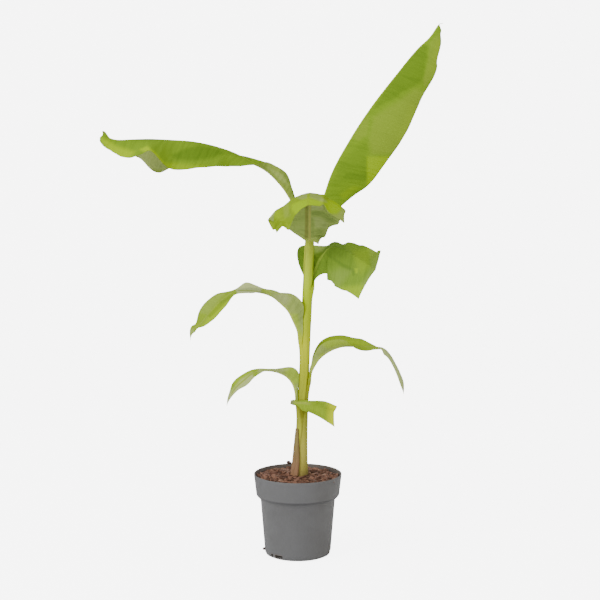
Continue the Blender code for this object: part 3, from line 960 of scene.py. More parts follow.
    def build(self) -> bpy.types.Object:
        """Shape a grid into the leaf, give it its under face, and mark its tones of painted light and shade.

        Returns:
            The leaf's piece.
        """
        rows, columns = self.rows, 2 * self.half_columns
        ribs = [self.frame_at(i / rows) for i in range(rows + 1)]
        shares = [2 * j / columns - 1 for j in range(columns + 1)]
        shares = [math.copysign(abs(share) ** 1.25, share) for share in shares]
        upper = [[self.upper(rib, i / rows, share) for share in shares] for i, rib in enumerate(ribs)]
        mesh = bmesh.new()
        bmesh.ops.create_grid(mesh, x_segments=rows, y_segments=columns, size=1.0)
        bmesh.ops.extrude_face_region(mesh, geom=mesh.faces[:], use_keep_orig=True)
        mesh.verts.ensure_lookup_table()
        tones = mesh.verts.layers.float_color.new("tones")
        build = mesh.verts.layers.float_color.new("build")
        place = mesh.loops.layers.uv.new("leaf_cm")
        spots = {}
        seen = set()
        for vertex in mesh.verts:
            spot = (round((vertex.co.x + 1) / 2 * rows), round((vertex.co.y + 1) / 2 * columns))
            under = spot in seen
            seen.add(spot)
            spots[vertex] = (*spot, under)
        knee = self.curve.knots[2] if self.sheath else 0.0
        for vertex, (i, j, under) in spots.items():
            point = upper[i][j]
            if under:
                forward = upper[min(i + 1, rows)][j] - upper[max(i - 1, 0)][j]
                sideways = upper[i][min(j + 1, columns)] - upper[i][max(j - 1, 0)]
                inward = forward.cross(sideways).normalized()
                point = point - inward * self.depth(ribs[i], i / rows, shares[j])
            vertex.co = point * MM
            vertex[tones] = self.tones(point, shares[j], under)
            clasp = 1 - smooth(i / rows, knee, knee + 0.09) if self.sheath else 0.0
            ridge = 1 - smooth(i / rows, 0.75 * self.rib_end, self.rib_end)
            vertex[build] = (float(under), clasp, abs(shares[j]), ridge)
        for face in mesh.faces:
            for loop in face.loops:
                i, j, _ = spots[loop.vert]
                width = ribs[i].station[3 if shares[j] >= 0 else 5]
                loop[place].uv = (i / rows * self.curve.length / 10, shares[j] * max(width, NARROW) / 10)
        bmesh.ops.recalc_face_normals(mesh, faces=mesh.faces)
        leaf = surface_piece(mesh, f"{self.node}_blade", self.finish.material, 65.0)
        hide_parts(self.node)
        return leaf


FULL_LEAF = LeafFinish(
    "full leaf", blade=(0.18, 0.305, 0.014), bright=(0.32, 0.47, 0.002), shade=(0.62, 0.68, 0.80),
    bloom_and_light=(0.235, 0.33, 0.030), under=(0.24, 0.32, 0.05), under_bloom_and_light=(0.38, 0.46, 0.13),
    rib=(0.30, 0.42, 0.02), under_rib=(0.36, 0.42, 0.07),
)
CROWN_LEAF = LeafFinish(
    "crown leaf", blade=(0.24, 0.35, 0.012), bright=(0.285, 0.44, 0.001), shade=(0.58, 0.64, 0.62),
    bloom_and_light=(0.29, 0.37, 0.08), under=(0.30, 0.395, 0.09), under_bloom_and_light=(0.40, 0.47, 0.17),
    rib=(0.27, 0.39, 0.010), under_rib=(0.37, 0.38, 0.085), dry=(0.17, 0.150, 0.030),
)
OLD_LEAF = LeafFinish(
    "old leaf", blade=(0.25, 0.365, 0.022), bright=(0.32, 0.46, 0.010), shade=(0.68, 0.71, 0.78),
    bloom_and_light=(0.45, 0.51, 0.20), under=(0.30, 0.38, 0.085), under_bloom_and_light=(0.39, 0.45, 0.17),
    rib=(0.30, 0.38, 0.05), under_rib=(0.42, 0.50, 0.07), dry=(0.39, 0.45, 0.18), band=0.3,
)
CUT_LEAF = dataclasses.replace(
    OLD_LEAF, name="cut leaf", bright=(0.47, 0.54, 0.004), shade=(0.6, 0.62, 0.5), dry=(0.24, 0.26, 0.13)
)
TRIMMED_LEAF = dataclasses.replace(
    FULL_LEAF, name="trimmed leaf", blade=(0.19, 0.315, 0.028), bright=(0.33, 0.49, 0.016),
    shade=(0.64, 0.69, 0.85), bloom_and_light=(0.27, 0.38, 0.070), rib=(0.36, 0.50, 0.060),
)


def banana_leaves() -> list[BananaLeaf]:
    """Describe the leaves as the photograph shows them.

    Returns:
        The eight leaves, from the top of the stem down.
    """
    # Bright patches are painted light on the lit and backlit parts of each blade, dark patches painted shade,
    # pale bloom patches pale bloom with painted light, and dry patches dry tissue.
    bright, dark, bloom_and_light, dry = Tone.BRIGHT, Tone.DARK, Tone.BLOOM_AND_LIGHT, Tone.DRY
    upper, under = Face.UPPER, Face.UNDER
    return [
        BananaLeaf(
            "leaf_upper_left", 178, (154, 424, 447, 4.5), (
                (-8, 4, 487, 6, -55, 6, -55), (-17, 3, 501.5, 12.5, -62, 10, -60),
                (-28, 2, 514.5, 18, -64, 13, -60), (-39, 1, 525, 14, -60, 12, -55),
                (-48, 0, 531, 11, -54, 10, -50), (-58, -1, 536, 8, 8, 9.5, -35),
                (-70, -2, 543, 16, 45, 10, -12), (-84, -3, 550.5, 24, 50, 17, 22),
                (-104, -5, 557.8, 34, 47, 30, 40), (-143, -8, 566.2, 45.5, 52, 43, 46),
                (-165, -9, 567.7, 46.5, 54, 46, 55), (-183, -10, 568.7, 46, 31, 51.5, 64),
                (-197, -11, 569.2, 42, 19, 45.5, 62), (-210, -12, 569, 36, 32, 40, 45),
                (-224, -13, 568.5, 32, 49, 34, 38), (-234, -13.5, 568, 26, 55, 26, 38),
                (-243, -14, 568.7, 18.5, 60, 17, 36), (-249.5, -15, 571.2, 14.5, 68, 12, 40),
                (-252.5, -15, 575.5, 12, 72, 8, 50), (-255.5, -15, 579, 8, 72, 5, 50),
                (-258.5, -15, 580, 1, 50, 1, 40),
            ), FULL_LEAF, rows=240, half_columns=26, patches=(
                Patch(dark, ((-166, 548), (-148, 557), (-129, 561), (-105, 556), (-96, 550), (-117, 543),
                             (-143, 541), (-160, 543)), 3.5, 0.9, upper),
                Patch(dark, ((-240, 572), (-150, 574), (-60, 546), (-62, 540), (-150, 567),
                             (-240, 567)), 2.0, 0.45, upper),
                Patch(bright, ((-177, 539), (-120, 534), (-125, 529), (-178, 529)), 3.5, 0.55, upper, 1),
                Patch(bright, ((-264, 573), (-250, 567), (-240, 560), (-214, 553), (-222, 543),
                               (-236, 543), (-252, 556)), 4.0, 0.9, upper),
                Patch(bright, ((-208, 556), (-197, 561), (-187, 554), (-174, 538), (-180, 537),
                               (-194, 552)), 2.0, 1.0, upper, 1),
                Patch(bloom_and_light, ((-222, 556), (-200, 562), (-176, 540), (-176, 526),
                              (-210, 528)), 3.0, 1.0, under, -1),
                Patch(dark, ((-190, 535), (-176, 536), (-176, 528), (-190, 528)), 3.0, 0.35, under, -1),
                Patch(bloom_and_light, ((-40, 531), (-20, 521), (-14, 508), (-24, 514)), 3.0, 0.55, under),
                Patch(dark, ((-20, 530), (-10, 516), (-3, 500), (-5, 490), (-12, 510),
                             (-24, 526)), 2.5, 0.6, under),
                Patch(dark, ((-48, 534), (-30, 518), (-15, 495), (-18, 494), (-33, 515),
                             (-49, 530)), 0.8, 0.6, under),
                Patch(dry, ((-262, 584), (-250, 584), (-252, 578), (-262, 577)), 1.2, 0.7),
            ),
        ),
        BananaLeaf(
            "leaf_upper_right", 0, (22, 422, 447, 4.5), (
                (25, 8, 462, 7, -50, 10, 30), (34, 9, 489, 25, 25, 28.5, 70),
                (43, 8, 517.5, 40, 36, 47.5, 80), (70, 8, 568.5, 48, 32, 58, 82),
                (97.8, 6, 611, 47.5, 26, 58.7, 78), (130.2, 4, 653, 41, 36, 46, 82),
                (161, 2, 690, 26, 25, 34.5, 78), (175, 0, 703.5, 12, 20, 19, 76),
                (181, 0, 712, 7, 12, 10, 72), (185, 0, 718, 4, 8, 5.5, 60), (187, 0, 720, 1, 0, 1, 0),
                (192, 0, 721, 0.5, 0, 0.5, 0),
            ), FULL_LEAF, rows=230, half_columns=30, patches=(
                Patch(dark, ((93, 568), (92, 511), (64, 509), (46, 506), (56, 536), (74, 554)), 5.0, 0.4),
                Patch(dark, ((93, 524), (92, 513), (58, 514), (64, 524)), 2.5, 0.75),
                Patch(dark, ((93, 545), (92, 521), (60, 526), (72, 536)), 3.5, 0.45),
                Patch(bright, ((92.5, 507), (92.5, 545), (121, 545), (126, 536), (112, 524),
                               (101, 511)), 2.5, 0.65),
                Patch(bloom_and_light, ((94, 570), (101, 598), (116, 608), (136, 621), (155, 635), (170, 632),
                              (160, 600),
                              (150, 572), (130, 548), (98, 548)), 5.0, 0.7),
                Patch(bright, ((150, 615), (158, 612), (150, 578), (138, 562), (132, 566)), 5.0, 0.35),
                Patch(dark, ((171, 691), (170, 675), (166, 648), (157, 639), (139, 632), (128, 622),
                             (112, 614),
                             (101, 608), (113, 628), (141, 668), (163, 694)), 2.5, 0.65),
                Patch(dark, ((150, 662), (167, 661), (163, 643), (139, 639), (132, 643)), 3.5, 0.5),
                Patch(bloom_and_light, ((175, 697), (191, 712), (191, 690), (180, 652), (168, 636), (166, 646),
                              (172, 672)), 2.0, 0.6),
                Patch(bloom_and_light, ((72, 571), (88, 594), (95, 598), (94, 574), (80, 566)), 3.0, 0.6),
                Patch(bright, ((62, 488), (85, 504), (74, 506), (56, 494)), 3.0, 0.3),
                Patch(bright, ((184, 700), (192, 700), (190, 680), (180, 654), (174, 660)), 3.0, 0.4),
            ),
        ),
        BananaLeaf(
            "leaf_crown", 268, (268, 412, 430, 5.0), (
                (16, -12, 435.5, 15, 36, 9, 5, -1, 0), (16, -13, 444, 23, 32, 21, 5, -3, 0),
                (16, -17, 458, 30, 30, 33, 22, 0, -2), (16, -25, 474, 47, 37, 51.5, 40),
                (16, -38, 491, 50, 34, 58, 40, -3, -4), (15, -52, 500.5, 51, 25, 62, 30),
                (14, -70, 498, 52, 22, 58, 31, 2, 2), (13.5, -79, 493.5, 51, 23, 54, 33, 1, 0),
                (13, -86, 487, 53.5, 28, 46, 27, 2, 0),
            ), CROWN_LEAF, rows=150, half_columns=36, ripple=0.25,
            drape_left=((0.0, 0.0), (0.29, -1.5), (0.38, -6.0), (0.5, 2.0), (0.65, 4.0), (0.89, 4.0),
                        (1.0, 4.0)),
            drape_right=((0.0, 0.0), (0.18, 4.3), (0.37, 11.5), (0.5, 23.0), (0.56, 28.5), (0.76, 18.8),
                         (1.0, 23.0)),
            patches=(
                Patch(bloom_and_light, ((-2, 495), (9, 504), (17, 505), (33, 495), (38, 490), (28, 492), (16, 496),
                              (4, 493)), 1.6, 0.9, upper),
                Patch(dark, ((-2, 495), (9, 504), (17, 505), (33, 495), (28, 493), (16, 497),
                             (4, 494)), 1.2, 0.3, upper),
                Patch(bright, ((-8, 486), (-1, 490), (16, 495), (31, 491), (29, 486.5), (16, 486.5),
                               (11, 485.5), (2, 476),
                               (-3, 474), (-8, 481)), 1.6, 0.95, upper),
                Patch(bright, ((35, 492), (51, 491), (60, 488), (57, 480), (51, 475.5), (44, 475),
                               (37, 479), (34, 486)), 2.0, 0.9, upper),
                Patch(bloom_and_light, ((36, 475), (51, 474), (61, 483), (62, 462), (53, 462),
                              (43, 467)), 2.5, 0.75, upper),
                Patch(bright, ((-34, 474), (-24, 480), (-22, 470), (-30, 466)), 3.0, 0.45, upper),
                Patch(bloom_and_light, ((-20, 486), (-12, 487), (-10, 471), (-17, 469)), 2.5, 0.35, upper),
                Patch(dark, ((-36, 468), (-28, 468), (-17, 460), (-26, 450)), 2.0, 0.4, upper),
                Patch(dark, ((-10, 480), (-3, 475), (2, 474), (-6, 460), (-14, 462)), 2.0, 0.35, upper),
                Patch(dry, ((9.6, 487), (14, 487), (14, 458), (13.6, 436), (9, 436),
                            (9.8, 458)), 0.9, 0.6, under),
                Patch(bloom_and_light, ((14.4, 486), (17.2, 486), (17.4, 436), (14.6, 436)), 0.6, 0.6, under),
                Patch(dark, ((18, 475), (33, 475), (52, 463), (44, 460), (30, 468),
                             (18, 469)), 1.8, 0.65, under),
                Patch(bloom_and_light, ((18, 488), (33, 488), (34, 476), (18, 476)), 1.6, 0.6, under),
                Patch(bloom_and_light, ((20, 466), (30, 466), (42, 458), (38, 450), (24, 452)), 3.0, 0.35, under),
                Patch(dark, ((26, 450), (40, 462), (32, 442), (24, 440)), 2.0, 0.35, under),
                Patch(dark, ((18, 465), (22, 462), (22, 440), (17.5, 440)), 1.2, 0.35, under),
            ),
        ),
        BananaLeaf(
            "leaf_middle_right", 0, (0, 345, 366, 6.5), (
                (20, 2, 379, 11, -68, 5, 40), (24, 4, 393, 25, -78, 9, 70, 0, -5),
                (30, 4, 407, 33, -78, 17, 70, 0, -13), (36, 3, 417, 30, -3, 27, 71, 0, -19),
                (40, 1.5, 421.3, 29, 0, 34, 71, 0, -19), (44.5, -1, 424, 28, 4, 43, 72, 0, -10),
                (50, -4.3, 424.4, 34, -7, 47, 71, 0, 5), (56, -8, 423.5, 37.5, -12.5, 49.5, 72, 0, 13),
                (68, -15, 418.5, 40, -20, 50, 71, -2, 17), (81, -21, 411, 42, -24, 48, 70, -5, 13),
                (92, -28, 404, 38, -30, 46, 70, -10, 9), (103.5, -34, 397, 34, -43, 46.5, 70, -16.5, 6.5),
            ), TRIMMED_LEAF, rows=150, half_columns=28, ripple=0.1, rib_end=0.60, patches=(
                Patch(dark, ((38, 424), (50, 434), (64, 430), (66, 418), (60, 410), (44, 412),
                             (36, 416)), 4.5, 0.6),
                Patch(bloom_and_light, ((22, 424), (30, 428), (42, 432), (40, 424), (33, 416),
                              (24, 414)), 2.0, 1.0, upper, 1),
                Patch(dark, ((36, 419), (48, 413), (60, 405), (74, 398), (77, 395), (70, 396), (56, 402),
                             (40, 412)), 1.8, 0.7),
                Patch(dark, ((28, 404), (40, 408), (50, 404), (44, 396), (34, 392)), 3.0, 0.35),
                Patch(dark, ((-3, 424), (3, 424), (4, 396), (8, 384), (0, 390)), 1.5, 0.6),
                Patch(dark, ((60, 432), (90, 424), (90, 421), (62, 427)), 1.5, 0.3),
                Patch(bright, ((92, 424), (108, 420), (106, 408), (94, 408)), 3.5, 0.6),
                Patch(bloom_and_light, ((44, 392), (56, 399), (72, 396), (62, 382), (54, 371), (42, 382)), 4.5, 0.4),
                Patch(bright, ((56, 374), (88, 379), (86, 358), (62, 366)), 4.5, 0.75),
                Patch(bright, ((74, 418), (96, 420), (96, 402), (84, 392), (78, 402)), 5.0, 0.5),
                Patch(bloom_and_light, ((96, 424), (114, 424), (106, 396), (92, 366), (84, 380),
                              (98, 400)), 3.0, 0.5),
                Patch(bright, ((75, 399), (80, 399), (79, 393), (76.5, 393)), 0.8, 0.9),
                Patch(dark, ((72, 395), (75, 396), (75, 390), (72.5, 390)), 1.0, 0.8),
            ),
        ),
        BananaLeaf(
            "leaf_mid_left", 180, (180, 268, 292, 6.5), (
                (1, 0, 310, 9, -58, 9, -56), (-5, 0, 324, 15, -63, 13, -60),
                (-12, 0, 337.5, 24.5, -64, 18, -56), (-23, 0, 348.8, 22.5, -56, 16, -42),
                (-34, 0, 357.5, 13.5, -36, 14, -28), (-46, 0, 362, 9, -40, 12, -20),
                (-58, 0, 364, 8, 10, 14, -30), (-71, 0, 365, 8, 20, 16, -34),
                (-84, 0, 364, 7.5, 30, 11, -10), (-105, 0, 350, 17, 34, 20, -30),
                (-122, 0, 332, 16, 36, 21, -34), (-131, 0, 320.5, 9, 38, 14, -36),
                (-136.5, 0, 316, 4.5, 38, 6.5, -36), (-142, 0, 312.5, 7, 45, 6.5, -32),
                (-145, 0, 306, 4, 35, 4, -24), (-145.5, 0, 297, 1, 0, 1, 0),
            ), OLD_LEAF, rows=210, half_columns=16, ripple=0.4, patches=(
                Patch(bright, ((-84, 356), (-88, 350), (-120, 322), (-128, 318), (-110, 345)), 2.5, 0.8),
                Patch(bloom_and_light, ((-92, 366), (-104, 354), (-122, 332), (-134, 332), (-126, 348),
                              (-104, 368)), 2.0, 0.15),
                Patch(dark, ((-88, 361), (-90, 357), (-118, 329), (-121, 331), (-104, 350)), 0.9, 0.8),
                Patch(bloom_and_light, ((-84, 365), (-80, 370), (-68, 379), (-48, 368), (-50, 362),
                              (-80, 361)), 1.2, 1.0),
                Patch(dark, ((-82, 366), (-66, 368), (-50, 366), (-50, 363.5), (-80, 363.5)), 0.9, 0.75),
                Patch(bright, ((-50, 368), (-36, 363), (-36, 360), (-50, 365)), 1.5, 0.6),
                Patch(bloom_and_light, ((-34, 359), (-18, 363), (-10, 356), (-16, 344), (-28, 352)), 3.5, 0.7, under),
                Patch(dark, ((-6, 356), (6, 346), (6, 320), (0, 322), (-4, 340)), 2.5, 0.5, under),
                Patch(bright, ((-10, 334), (0, 334), (6, 300), (-4, 298)), 2.5, 0.5),
                Patch(dark, ((-86, 363), (-44, 364), (-44, 361.5), (-86, 360.5)), 1.0, 0.5),
                Patch(dry, ((-148, 312), (-140, 312), (-142, 296), (-148, 296)), 2.0, 0.35),
            ),
        ),
        BananaLeaf(
            "leaf_lower_right", 0, (0, 212, 236, 6.5), (
                (17.5, 0, 254, 3.5, -50, 3.5, -50), (21.5, 0, 262, 4.5, -62, 4.5, -60),
                (27.5, 0, 271, 9.5, -68, 9, -64), (40, 0, 281.3, 18, -62, 15.5, -62),
                (60, 0, 289, 17.5, -50, 14, -50), (75, 0, 289.5, 17, -32, 16.5, -2),
                (91, 0, 288.5, 15.5, -24, 14, 16), (106, 0, 288, 7, 0, 6, 30),
                (114, 0, 287.5, 5, 40, 5, 40), (120, 0, 284, 8.5, 50, 8.5, 50), (126, 0, 277, 7, 55, 7, 55),
                (133.2, 0, 264.5, 6, 60, 6, 60), (139.5, 0, 251.5, 6.5, 60, 6.5, 60),
                (144, 0, 239, 6.5, 60, 6.5, 60), (144.5, 0, 230, 3.5, 60, 3.5, 60),
                (144, 0, 223, 1, 0, 1, 0),
            ), OLD_LEAF, rows=210, half_columns=14, ripple=0.4, patches=(
                Patch(bright, ((30, 294), (44, 302), (70, 297), (96, 292), (92, 287), (60, 291),
                               (40, 286)), 3.0, 0.6),
                Patch(dark, ((62, 291), (76, 292), (94, 287), (92, 284), (70, 287)), 1.6, 0.4),
                Patch(bloom_and_light, ((28, 272), (40, 282), (62, 286), (60, 280), (42, 275),
                              (32, 266)), 2.5, 0.55, under),
                Patch(dry, ((110, 292), (124, 286), (150, 236), (146, 218), (136, 236), (122, 268),
                            (108, 282)), 3.5, 0.85),
                Patch(bright, ((12, 258), (24, 272), (34, 280), (36, 276), (26, 262), (18, 244),
                               (13, 244)), 2.0, 0.9),
                Patch(bloom_and_light, ((14, 262), (26, 276), (34, 276), (22, 254), (16, 250)), 2.0, 0.45),
            ),
        ),
        BananaLeaf(
            "leaf_lower_left", 180, (178, 182, 206, 6.0), (
                (-3, 0, 229, 5, -66, 5, -55), (-7, 0, 239, 12, -75, 9, -66),
                (-14, 0, 247.2, 17.5, -66, 12, -58), (-25, 0, 253, 9, -55, 6, -45),
                (-43, 0, 256, 4, 0, 4, -20), (-52, 0, 255, 6, 30, 5, -30), (-61, 0, 251.5, 7.5, 44, 7, -40),
                (-73, 0, 242, 9.2, 50, 10, -46), (-84, 0, 232, 6, 50, 10, -44),
                (-90.5, 0, 223, 4, 45, 5.5, -38), (-94.5, 0, 215.5, 3, 30, 3, -30),
                (-97, 0, 207, 1, 0, 1, 0),
            ), OLD_LEAF, rows=170, half_columns=14, ripple=0.4, patches=(
                Patch(bright, ((-22, 262), (0, 262), (4, 240), (-6, 236), (-14, 248)), 2.5, 0.55),
                Patch(bloom_and_light, ((-26, 257), (-12, 260), (-14, 256), (-26, 253)), 1.5, 0.4),
                Patch(dry, ((-54, 259), (-26, 257), (-26, 253), (-54, 253)), 2.0, 0.6),
                Patch(bloom_and_light, ((-62, 252), (-78, 242), (-94, 222), (-90, 214), (-72, 230),
                              (-58, 244)), 2.5, 0.75),
                Patch(bright, ((-58, 258), (-72, 256), (-88, 238), (-84, 232), (-70, 246)), 2.5, 0.5),
                Patch(dry, ((-92, 228), (-100, 216), (-98, 204), (-88, 216)), 3.0, 0.8),
            ),
        ),
        BananaLeaf(
            "leaf_small_cut", 340, (), (
                (-10, -7, 213, 2.5, -60, 2.5, 60), (-6, -8, 213, 3.5, -75, 4, 75),
                (-1, -9, 212.5, 3, -88, 4, 80), (6, -10, 212.5, 3.5, -88, 10, 84),
                (14, -12.5, 212, 4.5, -62, 11, 74), (32, -25, 209.5, 11, -42, 13.5, 62),
                (49, -32, 205.5, 9.5, -38, 20.3, 62, 0, 8),
            ), CUT_LEAF, rib=1.0, rows=110, half_columns=16, ripple=0.3, rib_end=0.5, patches=(
                # The bright patch on this leaf is its yellowed cut end, the leaf's own colour.
                Patch(bright, ((42, 214), (60, 216), (54, 182), (40, 190)), 6.0, 1.0),
                Patch(dark, ((14, 206), (30, 203), (36, 197), (24, 200), (12, 202)), 2.5, 0.4),
                Patch(dark, ((18, 218), (36, 214), (34, 211), (18, 214)), 1.5, 0.4),
                Patch(dry, ((-14, 218), (-6, 218), (-6, 208), (-14, 208)), 1.2, 0.7),
                Patch(dark, ((-14, 218), (-6, 218), (-6, 208), (-14, 208)), 1.2, 1.0),
            ),
        ),
    ]


@dataclass(frozen=True)
class DrySheathFinish:
    """The dry sheath: pinkish tan below, olive brown above, with long fibres."""

    low: Colour = (0.30, 0.165, 0.088)
    high: Colour = (0.25, 0.20, 0.065)
    fibre: Colour = (0.15, 0.085, 0.035)
    edge: Colour = (0.10, 0.055, 0.015)
    change: tuple[float, float] = (0.116, 0.160)
    roughness: float = 0.75

    @functools.cached_property
    def material(self) -> bpy.types.Material:
        """Build the dry sheath's finish.

        Returns:
            The material, which reads the strip's build marks.
        """
        material, desk, shader = new_material("dry sheath", 0.15)
        place = desk.place()
        edge = desk.marks("build")[2]
        fibres = desk.group(fibre_group(), {"Place": place, "Stretch": (90.0, 90.0, 5.0)})
        colour = desk.mix(desk.ease(desk.axes(place)[2], *self.change), self.low, self.high)
        colour = desk.mix(desk.times(fibres["Streak"], 0.55), colour, self.fibre)
        colour = desk.mix(desk.ease(edge, 0.72, 1.0, 0.0, 0.8), colour, self.edge)
        desk.feed(shader.inputs["Base Color"], colour)
        shader.inputs["Roughness"].default_value = self.roughness
        desk.bump(shader, fibres["Relief"], 0.0004)
        return material


@dataclass
class OldSheath:
    """The dry strip of a lost leaf's sheath, lying against the left of the stem's foot."""

    bearing: float = 219.0
    span: tuple[float, float] = (106.0, 176.0)
    half_width: float = 8.4
    finish: DrySheathFinish = DrySheathFinish()

    def build(self) -> bpy.types.Object:
        """Shape the strip as a leaf with no rib and dress it.

        Returns:
            The strip's piece.
        """
        plain = LeafFinish("dry strip", *((0.2, 0.2, 0.1),) * 8)
        strip = BananaLeaf(
            "old_sheath", self.bearing, (self.bearing, *self.span, self.half_width), (), plain,
            rib=0.0, rows=80, half_columns=14, ripple=0.0, pleat=0.0, slot="dry_sheath", thickness=0.7,
            strip_widths=(1.0, 0.9, 0.35), sunk=-1.0,
        ).build()
        strip.data.materials[0] = self.finish.material
        return strip


@dataclass(frozen=True)
class BedFinish:
    """The dark damp crumb between the strips of bark."""

    damp: Colour = (0.060, 0.030, 0.019)
    crumb: Colour = (0.17, 0.080, 0.048)
    lump: Colour = (0.23, 0.115, 0.070)
    depths: Colour = (0.016, 0.014, 0.014)
    darkened: tuple[float, float] = (0.080, 0.098)
    roughness: float = 0.85

    @functools.cached_property
    def material(self) -> bpy.types.Material:
        """Build the crumb's finish.

        Returns:
            The material, darkest low in the pot.
        """
        material, desk, shader = new_material("compost crumb", 0.2)
        place = desk.place()
        crumb = desk.clouds(place, 420.0, 5.0, 0.7)
        lumps = desk.clouds(place, 90.0, 3.0)
        colour = desk.mix(desk.ease(crumb, 0.4, 0.62), self.damp, self.crumb)
        colour = desk.mix(desk.times(desk.ease(lumps, 0.5, 0.7), 0.5), colour, self.lump)
        deep = desk.ease(desk.axes(place)[2], *self.darkened, 0.9, 0.0)
        desk.feed(shader.inputs["Base Color"], desk.mix(deep, colour, self.depths))
        shader.inputs["Roughness"].default_value = self.roughness
        desk.bump(shader, desk.math("ADD", crumb, lumps), 0.0012)
        return material


@dataclass(frozen=True)
class BarkFinish:
    """The reddish-brown bark, each strip a little different and split along its fibres."""

    dark: Colour = (0.15, 0.066, 0.040)
    light: Colour = (0.34, 0.170, 0.108)
    pale: Colour = (0.48, 0.30, 0.21)
    split: Colour = (0.40, 0.36, 0.34)
    wet: Colour = (0.35, 0.32, 0.30)

    @functools.cached_property
    def material(self) -> bpy.types.Material:
        """Build the bark's finish.

        Returns:
            The material, which reads each strip's tint and grain.
        """
        material, desk, shader = new_material("bark strips", 0.25)
        tone, age, wet, _ = desk.marks("strip")
        uv = desk.put("UVMap", uv_map="grain").outputs[0]
        fibres = desk.group(fibre_group(), {"Place": uv, "Stretch": (0.5, 5.0, 1.0)})
        colour = desk.mix(tone, self.dark, self.light)
        colour = desk.mix(desk.ease(age, 0.84, 1.0), colour, self.pale)
        split = desk.tinted(colour, self.split)
        colour = desk.mix(desk.times(fibres["Streak"], 0.75), colour, split)
        colour = desk.mix(desk.times(wet, 0.7), colour, desk.tinted(colour, self.wet))
        desk.feed(shader.inputs["Base Color"], colour)
        desk.feed(shader.inputs["Roughness"], desk.ease(age, 0.0, 1.0, 0.55, 0.85))
        desk.bump(shader, fibres["Relief"], 0.0006)
        return material


